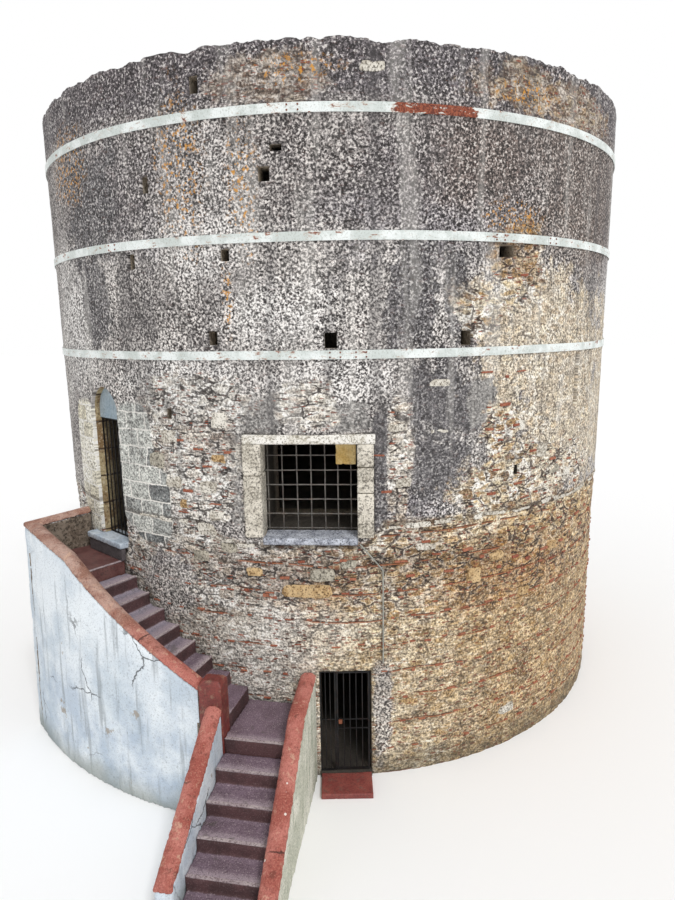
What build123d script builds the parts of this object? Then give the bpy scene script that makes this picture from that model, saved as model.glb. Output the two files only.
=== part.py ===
from build123d import *
import math
import os

# A round masonry castle tower, hollow, with an outside stair up to a raised doorway.
# Millimetres. Origin on the tower's axis at ground level, +Z up, and the stair's foot
# and the lower doorway face -Y. An azimuth is 0 at -Y and grows towards +X.

# Tower
OUTER_R = 5400.0
WALL = 1500.0
LOWER_TOP = 3400.0
WALL_TOP = 9180.0
RIM_H = 1140.0
RIM_WALL = 900.0
GROUND_FLOOR_T = 80.0
FIRST_FLOOR_T = 300.0
FIRST_FLOOR_SEAT = 200.0
TERRACE_T = 120.0

# Vault over the upper room
VAULT_SPRING = 6300.0
VAULT_RISE = 2100.0
VAULT_SEAT = 150.0

# Scaffold holes left in the wall, as azimuth, middle height, width and height of each
HOLE_DEPTH = 450.0
HOLES = (
    (-19.1, 9870.0, 150.0, 230.0),
    (-7.5, 9040.0, 165.0, 90.0),
    (-9.3, 8730.0, 160.0, 190.0),
    (-28.5, 8730.0, 150.0, 230.0),
    (-32.3, 7730.0, 150.0, 210.0),
    (-15.5, 7740.0, 140.0, 160.0),
    (-18.0, 6650.0, 150.0, 190.0),
    (-0.4, 6600.0, 165.0, 210.0),
    (20.1, 6600.0, 190.0, 200.0),
    (27.2, 7780.0, 300.0, 170.0),
    (-26.8, 5570.0, 120.0, 160.0),
    (30.7, 4610.0, 115.0, 160.0),
)
SLOT_AZ = 46.6
SLOT_Z = 5880.0
SLOT_W = 123.0
SLOT_H = 880.0
SLOT_DEPTH = 90.0

# Steel hoops
HOOP_T = 12.0
HOOP_H = 120.0
HOOP_DROP = 830.0
HOOP_PITCH = 1540.0
HOOPS = 3

# Lower doorway and its gate
DOOR_LEFT = -297.0
DOOR_RIGHT = 489.0
DOOR_TOP = 1750.0
THRESHOLD_REACH = 470.0
THRESHOLD_SIDE = 12.0
GATE_SETBACK = 60.0
GATE_BAR = 14.0
GATE_FRAME = 25.0
GATE_T = 20.0
GATE_GAP_FLOOR = 22.0
GATE_GAP_HEAD = 15.0
GATE_MEETING_X = -50.0
GATE_MEETING_GAP = 6.0
GATE_RAILS = (800.0, 950.0)
LEAF_BARS = 4
SIDE_BARS = 2
HINGE_PIN_R = 8.0
HINGE_CLEAR = 0.4
HINGE_KNUCKLE_R = 13.0
HINGE_KNUCKLE_H = 60.0
HINGE_AXIS_INSET = 20.0
HINGE_PLATE_T = 10.0
HINGE_HEIGHTS = (380.0, 1450.0)

# Window
WINDOW_AZ = -4.0
WINDOW_W = 1350.0
WINDOW_BOTTOM = 3830.0
WINDOW_TOP = 5185.0
SURROUND_SETBACK = 15.0
SURROUND_DEPTH = 400.0
LINTEL_W = 1860.0
LINTEL_H = 135.0
SILL_H = 100.0
SILL_PROUD = 30.0
JAMB_JOINT = 10.0
LEFT_JAMB_W = 262.0
RIGHT_JAMB_W = 232.0
LEFT_JAMB_SPLITS = (4730.0,)
RIGHT_JAMB_SPLITS = (4480.0, 4850.0)
BLOCK_W = 290.0
BLOCK_H = 340.0
BLOCK_T = 180.0
BLOCK_SETBACK = 290.0
BLOCK_GAP = 26.0

# Upper doorway
UPPER_DOOR_AZ = -43.1
UPPER_DOOR_W = 830.0
UPPER_DOOR_SPRING_H = 2090.0
UPPER_GATE_SETBACK = 200.0
UPPER_GATE_BARS = 6
LUNETTE_SKIRT = 120.0
LUNETTE_T = 60.0
DOORSTEP_AZ = -42.0
DOORSTEP_SIDEWAYS = 263.0
DOORSTEP_W = 1080.0
DOORSTEP_T = 90.0
DOORSTEP_PROUD = 90.0
DOORSTEP_SET = 340.0
DOORSTEP_NOSE = 20.0

# Outside stair: a radial lower flight, a landing, and an upper flight round the wall
STAIR_AZ = -10.5
LANDING_Z = 1245.0
LANDING_LIP = 165.0
LOWER_RISES = 6
LOWER_TREAD = 358.0
STAIR_LEFT = -455.0
UPPER_RISES = 9
UPPER_DROP = 300.0
UPPER_STAIR_W = 815.0
UPPER_FIRST_INSET = 33.0
UPPER_PITCH = 3.125
UPPER_END_AZ = -51.9
LANDING_CHORDS = 3

# Parapets, copings and the pier at the landing
PARAPET_T = 220.0
PARAPET_BATTER = 0.03
COPING_H = 90.0
COPING_OVERHANG = 15.0
UPPER_GUARD = 400.0
CORNER_GUARD = 580.0
END_GUARD = 680.0
LEFT_GUARD_START = 505.0
LEFT_TOP_END = 600.0
RIGHT_SPREAD = 2.3
RIGHT_START_V = 425.0
RIGHT_GUARD_WALL = 515.0
RIGHT_GUARD_BEND = 435.0
RIGHT_BEND_BACK = 110.0
RIGHT_TOP_END = 520.0
PIER_RADIAL = 280.0
PIER_LATERAL = 330.0
PIER_LIP = 10.0
PIER_GUARD = 775.0
PIER_CAP = 60.0
PIER_TAPER = 40.0

# Electric conduit on the wall, as azimuth and height along its run
CONDUIT_R = 11.0
CONDUIT_STANDOFF = 3.0
CONDUIT_START_AZ = 3.5
CONDUIT_DOWN_AZ = 7.0
CONDUIT_SILL_DROP = 90.0
CONDUIT_SLANT_DROP = 410.0
CONDUIT_OVER_DOOR = 130.0
CONDUIT_BEND = 120.0

# Worked out from the sizes above
INNER_R = OUTER_R - WALL
RIM_TOP = WALL_TOP + RIM_H
HOOP_CENTRES = [RIM_TOP - HOOP_DROP - HOOP_PITCH * i for i in range(HOOPS)]
SURROUND_FACE = OUTER_R - SURROUND_SETBACK
BLOCK_FACE = OUTER_R - BLOCK_SETBACK
UPPER_DOOR_SPRING = LOWER_TOP + UPPER_DOOR_SPRING_H
UPPER_GATE_FACE = OUTER_R - UPPER_GATE_SETBACK
UPPER_GATE_TOP = UPPER_DOOR_SPRING - LUNETTE_SKIRT
UPPER_TOP = LOWER_TOP - UPPER_DROP
PARAPET_INNER_R = OUTER_R + UPPER_STAIR_W
LANDING_EDGE = PARAPET_INNER_R + LANDING_LIP
UPPER_FIRST_AZ = STAIR_AZ - math.degrees(math.atan(-STAIR_LEFT / (LANDING_EDGE - UPPER_FIRST_INSET)))
PIER_FRONT = LANDING_EDGE + PIER_LIP
PIER_TOP = LANDING_Z + PIER_GUARD
PARAPET_END = LANDING_EDGE + (LOWER_RISES - 1) * LOWER_TREAD
UPPER_CORNER_TOP = UPPER_TOP + CORNER_GUARD
END_WALL_TOP = UPPER_TOP + END_GUARD
LOWER_RISE = LANDING_Z / LOWER_RISES
UPPER_RISE = (UPPER_TOP - LANDING_Z) / UPPER_RISES
UPPER_LAST_AZ = UPPER_FIRST_AZ - UPPER_PITCH * (UPPER_RISES - 1)
REACH = OUTER_R + WALL
CUT = 1.0
ROOT = 200.0

nodes = {}


def turn(shape, azimuth):
    """Turn a shape drawn at the front, facing -Y, to another azimuth."""
    return Rot(0, 0, azimuth) * shape


def block(x0, x1, y0, y1, z0, z1):
    """A box between two corners."""
    size = Box(x1 - x0, y1 - y0, z1 - z0)
    return Pos((x0 + x1) / 2, (y0 + y1) / 2, (z0 + z1) / 2) * size


def drum(radius, z0, z1):
    """An upright cylinder on the tower's axis."""
    return Pos(0, 0, (z0 + z1) / 2) * Cylinder(radius, z1 - z0)


def sector(outline, az0, az1):
    """Sweep an outline of (radius, height) points round the axis between two azimuths."""
    face = Plane.XZ * make_face(Polyline(*outline, close=True))
    swept = revolve(face, axis=Axis.Z, revolution_arc=az1 - az0)
    return Rot(0, 0, az0 - 90) * swept


def polar(radius, azimuth):
    """Plan position of a point given by radius and azimuth."""
    angle = math.radians(azimuth)
    return radius * math.sin(angle), -radius * math.cos(angle)


def prism(points, z0, z1):
    """Extrude a plan outline between two heights."""
    face = Pos(0, 0, z0) * make_face(Polyline(*points, close=True))
    return extrude(face, amount=z1 - z0, dir=(0, 0, 1))


def side_prism(profile, x0, x1):
    """Extrude a profile of (distance out, height) points across from x0 to x1."""
    points = [(x0, -out, z) for out, z in profile]
    face = make_face(Polyline(*points, close=True))
    return extrude(face, amount=x1 - x0, dir=(1, 0, 0))


LOWER_OUTLINE = (
    (INNER_R, 0.0),
    (OUTER_R, 0.0),
    (OUTER_R, LOWER_TOP),
    (INNER_R + FIRST_FLOOR_SEAT, LOWER_TOP),
    (INNER_R + FIRST_FLOOR_SEAT, LOWER_TOP - FIRST_FLOOR_T),
    (INNER_R, LOWER_TOP - FIRST_FLOOR_T),
)
UPPER_OUTLINE = (
    (INNER_R, LOWER_TOP),
    (OUTER_R, LOWER_TOP),
    (OUTER_R, WALL_TOP),
    (INNER_R + VAULT_SEAT, WALL_TOP),
    (INNER_R + VAULT_SEAT, VAULT_SPRING),
    (INNER_R, VAULT_SPRING),
)


def doorstep_slab():
    """The marble slab at the upper doorway, let into the wall."""
    half = DOORSTEP_W / 2
    front = OUTER_R + DOORSTEP_PROUD
    back = OUTER_R - DOORSTEP_SET
    left = -DOORSTEP_SIDEWAYS - half
    right = -DOORSTEP_SIDEWAYS + half
    slab = block(left, right, -front, -back, LOWER_TOP - DOORSTEP_T, LOWER_TOP)
    return turn(slab, DOORSTEP_AZ)


def lower_storey():
    """The lower wall in segments, split beside and over the doorway."""
    passage = block(DOOR_LEFT, DOOR_RIGHT, -REACH, 0, -CUT, LOWER_TOP + CUT)
    slab = doorstep_slab()
    spans = {
        "lower_wall_front_left": (-60, 0),
        "lower_wall_left": (-120, -60),
        "lower_wall_back_left": (-180, -120),
        "lower_wall_back_right": (120, 180),
        "lower_wall_right": (60, 120),
        "lower_wall_front_right": (0, 60),
    }
    for name, (az0, az1) in spans.items():
        wall = sector(LOWER_OUTLINE, az0, az1)
        if "front" in name:
            wall = wall - passage
        if name == "lower_wall_front_left":
            wall = wall - slab
        nodes[name] = wall
    head = sector(LOWER_OUTLINE, -30, 30) & block(DOOR_LEFT, DOOR_RIGHT, -REACH, 0, DOOR_TOP, LOWER_TOP)
    nodes["lower_door_head"] = head


def door_opening(depth_from, depth_to, z0):
    """The upper doorway's arched opening, drawn at the front."""
    half = UPPER_DOOR_W / 2
    left = (-half, UPPER_DOOR_SPRING)
    right = (half, UPPER_DOOR_SPRING)
    crown = (0, UPPER_DOOR_SPRING + half)
    outline = Polyline(left, (-half, z0), (half, z0), right) + ThreePointArc(right, crown, left)
    face = Plane.XZ * make_face(outline)
    return extrude(Pos(0, -depth_from, 0) * face, amount=depth_to - depth_from, dir=(0, -1, 0))


def window_opening():
    """The window's opening through the wall, with the seats of its stone surround."""
    half = WINDOW_W / 2
    back = SURROUND_FACE - SURROUND_DEPTH
    hole = block(-half, half, -REACH, 0, WINDOW_BOTTOM, WINDOW_TOP)
    lintel = block(-LINTEL_W / 2, LINTEL_W / 2, -REACH, -back, WINDOW_TOP, WINDOW_TOP + LINTEL_H)
    left = block(-half - LEFT_JAMB_W, -half, -REACH, -back, WINDOW_BOTTOM, WINDOW_TOP)
    right = block(half, half + RIGHT_JAMB_W, -REACH, -back, WINDOW_BOTTOM, WINDOW_TOP)
    sill = block(-half, half, -REACH, -back, WINDOW_BOTTOM - SILL_H, WINDOW_BOTTOM)
    return turn(hole + lintel + left + right + sill, WINDOW_AZ)


def pocket(azimuth, middle, width, height, depth):
    """The space of a square hole that runs into the wall from its outer face."""
    low = middle - height / 2
    high = middle + height / 2
    return turn(block(-width / 2, width / 2, -REACH, -OUTER_R + depth, low, high), azimuth)


def scaffold_holes(name, lowest, highest):
    """Cut the scaffold holes and the slot that lie between two heights into a wall."""
    for azimuth, middle, width, height in HOLES:
        if lowest < middle < highest:
            nodes[name] = nodes[name] - pocket(azimuth, middle, width, height, HOLE_DEPTH)
    if lowest < SLOT_Z < highest:
        nodes[name] = nodes[name] - pocket(SLOT_AZ, SLOT_Z, SLOT_W, SLOT_H, SLOT_DEPTH)


def upper_storey():
    """The upper wall in segments, split beside and over the arched doorway."""
    half = UPPER_DOOR_W / 2
    side = math.degrees(math.asin(half / OUTER_R))
    doorway = turn(block(-half, half, -REACH, 0, LOWER_TOP - CUT, WALL_TOP + CUT), UPPER_DOOR_AZ)
    spans = {
        "upper_wall_front": (UPPER_DOOR_AZ, 20),
        "upper_wall_front_right": (20, 80),
        "upper_wall_right": (80, 140),
        "upper_wall_back": (140, 200),
        "upper_wall_back_left": (200, 260),
        "upper_wall_left": (260, 360 + UPPER_DOOR_AZ),
    }
    for name, (az0, az1) in spans.items():
        nodes[name] = sector(UPPER_OUTLINE, az0, az1)
    nodes["upper_wall_front"] = nodes["upper_wall_front"] - doorway - window_opening()
    nodes["upper_wall_left"] = nodes["upper_wall_left"] - doorway
    scaffold_holes("upper_wall_front", LOWER_TOP, WALL_TOP)
    scaffold_holes("upper_wall_front_right", LOWER_TOP, WALL_TOP)
    arc = sector(UPPER_OUTLINE, UPPER_DOOR_AZ - 3 * side, UPPER_DOOR_AZ + 3 * side)
    opening = turn(door_opening(0, REACH, LOWER_TOP - CUT), UPPER_DOOR_AZ)
    head = turn(block(-half, half, -REACH, 0, UPPER_DOOR_SPRING, WALL_TOP), UPPER_DOOR_AZ)
    nodes["upper_door_head"] = (arc & head) - opening


def floors_and_vault():
    """Ground floor, first floor, vault, terrace and the rim wall round it."""
    passage = block(DOOR_LEFT, DOOR_RIGHT, -REACH, 0, 0, GROUND_FLOOR_T) & drum(OUTER_R, 0, GROUND_FLOOR_T)
    nodes["ground_floor"] = drum(INNER_R, 0, GROUND_FLOOR_T) + passage
    nodes["first_floor"] = drum(INNER_R + FIRST_FLOOR_SEAT, LOWER_TOP - FIRST_FLOOR_T, LOWER_TOP)
    dome_r = (INNER_R**2 + VAULT_RISE**2) / (2 * VAULT_RISE)
    dome = Pos(0, 0, VAULT_SPRING + VAULT_RISE - dome_r) * Sphere(dome_r)
    below = drum(REACH, VAULT_SPRING - 2 * dome_r, VAULT_SPRING)
    nodes["vault"] = drum(INNER_R + VAULT_SEAT, VAULT_SPRING, WALL_TOP) - (dome - below)
    rim_inner = OUTER_R - RIM_WALL
    nodes["terrace_floor"] = drum(rim_inner, WALL_TOP, WALL_TOP + TERRACE_T)
    nodes["rim_wall"] = drum(OUTER_R, WALL_TOP, RIM_TOP) - drum(rim_inner, WALL_TOP - CUT, RIM_TOP + CUT)
    scaffold_holes("rim_wall", WALL_TOP, RIM_TOP)


def hoops():
    """Three flat steel hoops round the wall."""
    rings = []
    for centre in HOOP_CENTRES:
        low = centre - HOOP_H / 2
        high = centre + HOOP_H / 2
        outside = drum(OUTER_R + HOOP_T, low, high)
        rings.append(outside - drum(OUTER_R, low - CUT, high + CUT))
    nodes["steel_hoops"] = Compound(children=rings)


def window_stones():
    """Lintel, jambs, sill and the squared stone in the upper right corner."""
    half = WINDOW_W / 2
    back = SURROUND_FACE - SURROUND_DEPTH
    lintel = block(-LINTEL_W / 2, LINTEL_W / 2, -SURROUND_FACE, -back, WINDOW_TOP, WINDOW_TOP + LINTEL_H)
    nodes["window_lintel"] = turn(lintel, WINDOW_AZ)
    stones = []
    sides = ((-half - LEFT_JAMB_W, -half, LEFT_JAMB_SPLITS), (half, half + RIGHT_JAMB_W, RIGHT_JAMB_SPLITS))
    for x0, x1, splits in sides:
        bottoms = [WINDOW_BOTTOM] + [z + JAMB_JOINT for z in splits]
        tops = list(splits) + [WINDOW_TOP]
        for low, high in zip(bottoms, tops):
            stones.append(turn(block(x0, x1, -SURROUND_FACE, -back, low, high), WINDOW_AZ))
    nodes["window_jambs"] = Compound(children=stones)
    front = SURROUND_FACE + SILL_PROUD
    sill = block(-half, half, -front, -back, WINDOW_BOTTOM - SILL_H, WINDOW_BOTTOM)
    nodes["window_sill"] = turn(sill, WINDOW_AZ)
    right = half - BLOCK_GAP
    stone = block(right - BLOCK_W, right, -BLOCK_FACE, -BLOCK_FACE + BLOCK_T, WINDOW_TOP - BLOCK_H, WINDOW_TOP)
    nodes["window_block"] = turn(stone, WINDOW_AZ)


def barred_panel(x0, x1, z0, z1, bars, rails):
    """A gate panel: a frame, upright bars and mid rails, centred on y = 0."""
    half = GATE_T / 2
    panel = block(x0, x0 + GATE_FRAME, -half, half, z0, z1)
    panel = panel + block(x1 - GATE_FRAME, x1, -half, half, z0, z1)
    panel = panel + block(x0, x1, -half, half, z0, z0 + GATE_FRAME)
    panel = panel + block(x0, x1, -half, half, z1 - GATE_FRAME, z1)
    for rail in rails:
        panel = panel + block(x0, x1, -half, half, rail - GATE_BAR / 2, rail + GATE_BAR / 2)
    inner = x1 - x0 - 2 * GATE_FRAME
    gap = (inner - bars * GATE_BAR) / (bars + 1)
    for i in range(bars):
        left = x0 + GATE_FRAME + gap + i * (gap + GATE_BAR)
        panel = panel + block(left, left + GATE_BAR, -GATE_BAR / 2, GATE_BAR / 2, z0, z1)
    return panel


def lower_gate():
    """The iron gate in the lower doorway: a fixed side panel and a hinged leaf."""
    gate_y = -OUTER_R + GATE_SETBACK
    z0 = GROUND_FLOOR_T + GATE_GAP_FLOOR
    z1 = DOOR_TOP - GATE_GAP_HEAD
    axis_x = DOOR_RIGHT - HINGE_AXIS_INSET
    side = barred_panel(DOOR_LEFT, GATE_MEETING_X, GROUND_FLOOR_T, DOOR_TOP, SIDE_BARS, GATE_RAILS[1:])
    nodes["gate_side_panel"] = Pos(0, gate_y, 0) * side
    leaf_right = axis_x - HINGE_KNUCKLE_R - HINGE_CLEAR
    leaf = barred_panel(GATE_MEETING_X + GATE_MEETING_GAP, leaf_right, z0, z1, LEAF_BARS, GATE_RAILS)
    pins = []
    for height in HINGE_HEIGHTS:
        middle = height + HINGE_KNUCKLE_H / 2
        knuckle = Pos(axis_x, 0, middle) * Cylinder(HINGE_KNUCKLE_R, HINGE_KNUCKLE_H)
        strap = block(leaf_right - CUT, axis_x, -GATE_T / 4, GATE_T / 4, height, height + HINGE_KNUCKLE_H)
        bore = Pos(axis_x, 0, middle) * Cylinder(HINGE_PIN_R + HINGE_CLEAR, HINGE_KNUCKLE_H + 2 * CUT)
        leaf = leaf + (knuckle + strap - bore)
        top = height - HINGE_CLEAR
        bottom = top - HINGE_PLATE_T
        arm = block(axis_x, DOOR_RIGHT, -HINGE_KNUCKLE_R, HINGE_KNUCKLE_R, bottom, top)
        boss = Pos(axis_x, 0, (bottom + top) / 2) * Cylinder(HINGE_KNUCKLE_R, HINGE_PLATE_T)
        length = HINGE_PLATE_T + HINGE_KNUCKLE_H
        pin = Pos(axis_x, 0, bottom + length / 2) * Cylinder(HINGE_PIN_R, length)
        pins.append(Pos(0, gate_y, 0) * (arm + boss + pin))
    nodes["gate_leaf"] = Pos(0, gate_y, 0) * leaf
    nodes["gate_hinges"] = Compound(children=pins)
    front = block(
        DOOR_LEFT + THRESHOLD_SIDE,
        DOOR_RIGHT - THRESHOLD_SIDE,
        -OUTER_R - THRESHOLD_REACH,
        -OUTER_R + ROOT,
        0,
        GROUND_FLOOR_T,
    )
    nodes["threshold_slab"] = front - drum(OUTER_R, -CUT, GROUND_FLOOR_T + CUT)


def upper_doorway():
    """The fixed gate, the panel over it and the doorstep of the upper doorway."""
    half = UPPER_DOOR_W / 2
    gate = barred_panel(-half, half, LOWER_TOP, UPPER_GATE_TOP, UPPER_GATE_BARS, ())
    nodes["upper_gate"] = turn(Pos(0, -UPPER_GATE_FACE, 0) * gate, UPPER_DOOR_AZ)
    near = UPPER_GATE_FACE - LUNETTE_T / 2
    panel = door_opening(near, near + LUNETTE_T, UPPER_GATE_TOP)
    nodes["lunette_panel"] = turn(panel, UPPER_DOOR_AZ)
    nodes["doorstep_slab"] = doorstep_slab()
    wide = DOORSTEP_W / 2 - DOORSTEP_NOSE
    front = OUTER_R + DOORSTEP_PROUD - DOORSTEP_NOSE
    left = -DOORSTEP_SIDEWAYS - wide
    right = -DOORSTEP_SIDEWAYS + wide
    riser = block(left, right, -front, -OUTER_R + ROOT, UPPER_TOP, LOWER_TOP - DOORSTEP_T)
    nodes["doorstep_riser"] = turn(riser, DOORSTEP_AZ) - drum(OUTER_R, UPPER_TOP - CUT, LOWER_TOP)


def stair_pier():
    """The pier at the landing, drawn at the front before it is turned to the stair."""
    x1 = STAIR_LEFT + COPING_OVERHANG
    x0 = x1 - PIER_LATERAL
    y0 = -PIER_FRONT
    y1 = y0 + PIER_RADIAL
    body = block(x0, x1, y0, y1, 0, PIER_TOP)
    base = Pos((x0 + x1) / 2, (y0 + y1) / 2, PIER_TOP) * Rectangle(PIER_LATERAL, PIER_RADIAL)
    return body + extrude(base, amount=PIER_CAP, dir=(0, 0, 1), taper=PIER_TAPER)


def right_line(out):
    """Lateral place of the right parapet's inner face at a distance out from the axis."""
    return RIGHT_START_V + (out - OUTER_R) * math.tan(math.radians(RIGHT_SPREAD))


def station_azimuths():
    """Azimuths of the upper flight's nosings and of the chords of its top landing."""
    nosings = [UPPER_FIRST_AZ - UPPER_PITCH * i for i in range(UPPER_RISES)]
    step = (UPPER_END_AZ - UPPER_LAST_AZ) / LANDING_CHORDS
    return nosings, [UPPER_LAST_AZ + step * i for i in range(LANDING_CHORDS + 1)]


def annular_step(az0, az1, z1):
    """A solid step between two azimuths, from the ground to its tread."""
    inside = OUTER_R - ROOT
    points = [polar(inside, az0), polar(PARAPET_INNER_R, az0), polar(PARAPET_INNER_R, az1), polar(inside, az1)]
    return prism(points, 0, z1) - drum(OUTER_R, -CUT, z1 + CUT)


def stairs():
    """Both flights and both landings, solid down to the ground."""
    pier = turn(stair_pier(), STAIR_AZ)
    flight = None
    for i in range(1, LOWER_RISES):
        near = LANDING_EDGE + LOWER_TREAD * (i - 1)
        far = LANDING_EDGE + LOWER_TREAD * i
        outline = [(STAIR_LEFT, -near), (right_line(near), -near), (right_line(far), -far), (STAIR_LEFT, -far)]
        step = prism(outline, 0, LANDING_Z - LOWER_RISE * i)
        flight = step if flight is None else flight + step
    nodes["lower_flight"] = turn(flight, STAIR_AZ) - pier
    inside = OUTER_R - ROOT
    slope = math.tan(math.radians(STAIR_AZ - UPPER_FIRST_AZ))
    bend = -STAIR_LEFT / slope
    outline = [(-inside * slope, -inside), (right_line(inside), -inside), (right_line(LANDING_EDGE), -LANDING_EDGE)]
    outline = outline + [(STAIR_LEFT, -LANDING_EDGE), (STAIR_LEFT, -bend)]
    landing = turn(prism(outline, 0, LANDING_Z), STAIR_AZ)
    nodes["stair_landing"] = landing - drum(OUTER_R, -CUT, LANDING_Z + CUT) - pier
    nosings, ends = station_azimuths()
    flight = None
    for i, az0 in enumerate(nosings[:-1]):
        step = annular_step(az0, nosings[i + 1], LANDING_Z + UPPER_RISE * (i + 1))
        flight = step if flight is None else flight + step
    nodes["upper_flight"] = flight - pier
    landing = None
    for az0, az1 in zip(ends, ends[1:]):
        step = annular_step(az0, az1, UPPER_TOP)
        landing = step if landing is None else landing + step
    nodes["upper_landing"] = landing
    nodes["stair_pier"] = pier


def coping_section(plane_origin, out, width, top):
    """A half-round coping's end face in the upright plane through out and +Z."""
    middle = Vector(plane_origin) + Vector(out) * (width / 2)
    near = Vector(plane_origin) - Vector(out) * COPING_OVERHANG
    far = Vector(plane_origin) + Vector(out) * (width + COPING_OVERHANG)
    low = Vector(0, 0, top - COPING_H)
    crown = Vector(0, 0, top)
    edges = Line(near + low, far + low) + ThreePointArc(far + low, middle + crown, near + low)
    return make_face(edges)


def straight_coping(profile, x0, x1):
    """A half-round coping over a straight parapet that follows a line of (out, top) points."""
    faces = [coping_section((x0, -out, 0), (1, 0, 0), x1 - x0, top) for out, top in profile]
    return loft(faces, ruled=True)


def straight_parapet(profile, x0, x1):
    """A straight parapet wall from the ground to just under its coping."""
    outline = [(profile[0][0], 0.0)]
    outline = outline + [(out, top - COPING_H) for out, top in profile]
    outline.append((profile[-1][0], 0.0))
    return side_prism(outline, x0, x1)


def parapets():
    """Parapet walls with their half-round copings."""
    pier = turn(stair_pier(), STAIR_AZ)
    left = ((PIER_FRONT, LANDING_Z + LEFT_GUARD_START), (PARAPET_END, LEFT_TOP_END))
    x0 = STAIR_LEFT - PARAPET_T
    nodes["lower_left_parapet"] = turn(straight_parapet(left, x0, STAIR_LEFT), STAIR_AZ)
    nodes["lower_left_coping"] = turn(straight_coping(left, x0, STAIR_LEFT), STAIR_AZ)
    placed = Rot(0, 0, STAIR_AZ) * Pos(RIGHT_START_V, -OUTER_R, 0) * Rot(0, 0, RIGHT_SPREAD)
    top = LANDING_Z + RIGHT_GUARD_WALL
    bend = (LANDING_EDGE - OUTER_R - RIGHT_BEND_BACK, LANDING_Z + RIGHT_GUARD_BEND)
    right = ((-ROOT, top), (0.0, top), bend, (PARAPET_END - OUTER_R, RIGHT_TOP_END))
    tower = drum(OUTER_R, -CUT, RIM_TOP)
    nodes["lower_right_parapet"] = placed * straight_parapet(right, 0, PARAPET_T) - tower
    nodes["lower_right_coping"] = placed * straight_coping(right, 0, PARAPET_T) - tower

    nosings, ends = station_azimuths()
    guard = [(az, LANDING_Z + UPPER_RISE * (i + 1) + UPPER_GUARD) for i, az in enumerate(nosings)]
    first = guard[-1][1]
    for i in range(1, LANDING_CHORDS + 1):
        share = math.sin(math.pi / 2 * i / LANDING_CHORDS)
        guard.append((ends[i], first + (UPPER_CORNER_TOP - first) * share))
    walls = []
    caps = []
    for az, top in guard:
        angle = math.radians(az)
        out = (math.sin(angle), -math.cos(angle), 0)
        wall_top = top - COPING_H
        outer = PARAPET_INNER_R + PARAPET_T
        foot = outer + PARAPET_BATTER * wall_top
        corners = ((PARAPET_INNER_R, 0.0), (foot, 0.0), (outer, wall_top), (PARAPET_INNER_R, wall_top))
        points = [(r * out[0], r * out[1], z) for r, z in corners]
        walls.append(make_face(Polyline(*points, close=True)))
        start = (PARAPET_INNER_R * out[0], PARAPET_INNER_R * out[1], 0)
        caps.append(coping_section(start, out, PARAPET_T, top))
    side = block(STAIR_LEFT + COPING_OVERHANG - PIER_LATERAL, REACH, -PARAPET_END, 0, -CUT, RIM_TOP)
    beyond_pier = turn(side, STAIR_AZ)
    nodes["upper_parapet"] = loft(walls, ruled=True) - beyond_pier
    corner = PARAPET_INNER_R + PARAPET_T
    run = ((OUTER_R - ROOT, END_WALL_TOP), (corner, UPPER_CORNER_TOP))
    outline = [(run[0][0], 0.0), (corner + PARAPET_BATTER * (UPPER_CORNER_TOP - COPING_H), 0.0)]
    outline = outline + [(corner, UPPER_CORNER_TOP - COPING_H), (run[0][0], END_WALL_TOP - COPING_H)]
    end_wall = turn(side_prism(outline, -PARAPET_T, 0), UPPER_END_AZ)
    nodes["end_parapet"] = end_wall - tower
    cap_run = (run[0], (corner + COPING_OVERHANG, UPPER_CORNER_TOP))
    end_cap = turn(straight_coping(cap_run, -PARAPET_T, 0), UPPER_END_AZ) - tower
    nodes["upper_coping"] = (loft(caps, ruled=True) - beyond_pier) + end_cap


def conduit():
    """The conduit's tube, clipped to the wall from the window sill to the lower doorway."""
    start_z = WINDOW_BOTTOM - CONDUIT_SILL_DROP
    slant_z = start_z - CONDUIT_SLANT_DROP
    run = ((CONDUIT_START_AZ, start_z), (CONDUIT_DOWN_AZ, slant_z), (CONDUIT_DOWN_AZ, DOOR_TOP + CONDUIT_OVER_DOOR))
    away = OUTER_R + CONDUIT_R + CONDUIT_STANDOFF
    path = FilletPolyline(*[(*polar(away, az), z) for az, z in run], radius=CONDUIT_BEND)
    start = Plane(origin=path @ 0, z_dir=path % 0)
    nodes["conduit"] = sweep(start * Circle(CONDUIT_R), path=path)


lower_storey()
upper_storey()
floors_and_vault()
hoops()
window_stones()
lower_gate()
upper_doorway()
stairs()
parapets()
conduit()

os.makedirs("parts", exist_ok=True)
for name, shape in nodes.items():
    export_step(shape, f"parts/{name}.step")
    box = shape.bounding_box()
    print(name, len(shape.solids()), [round(v) for v in (*box.min, *box.max)])
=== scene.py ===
"""Looks of a round castle tower: masonry, hoops, window, gates, stair, floor and light."""

import logging
import math
from dataclasses import dataclass
from enum import Enum
from functools import reduce
from typing import Any, Iterable, Mapping, Optional, Sequence, Union

import bmesh
import bpy
import numpy as np
from mathutils import Matrix, Vector, noise


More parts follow.
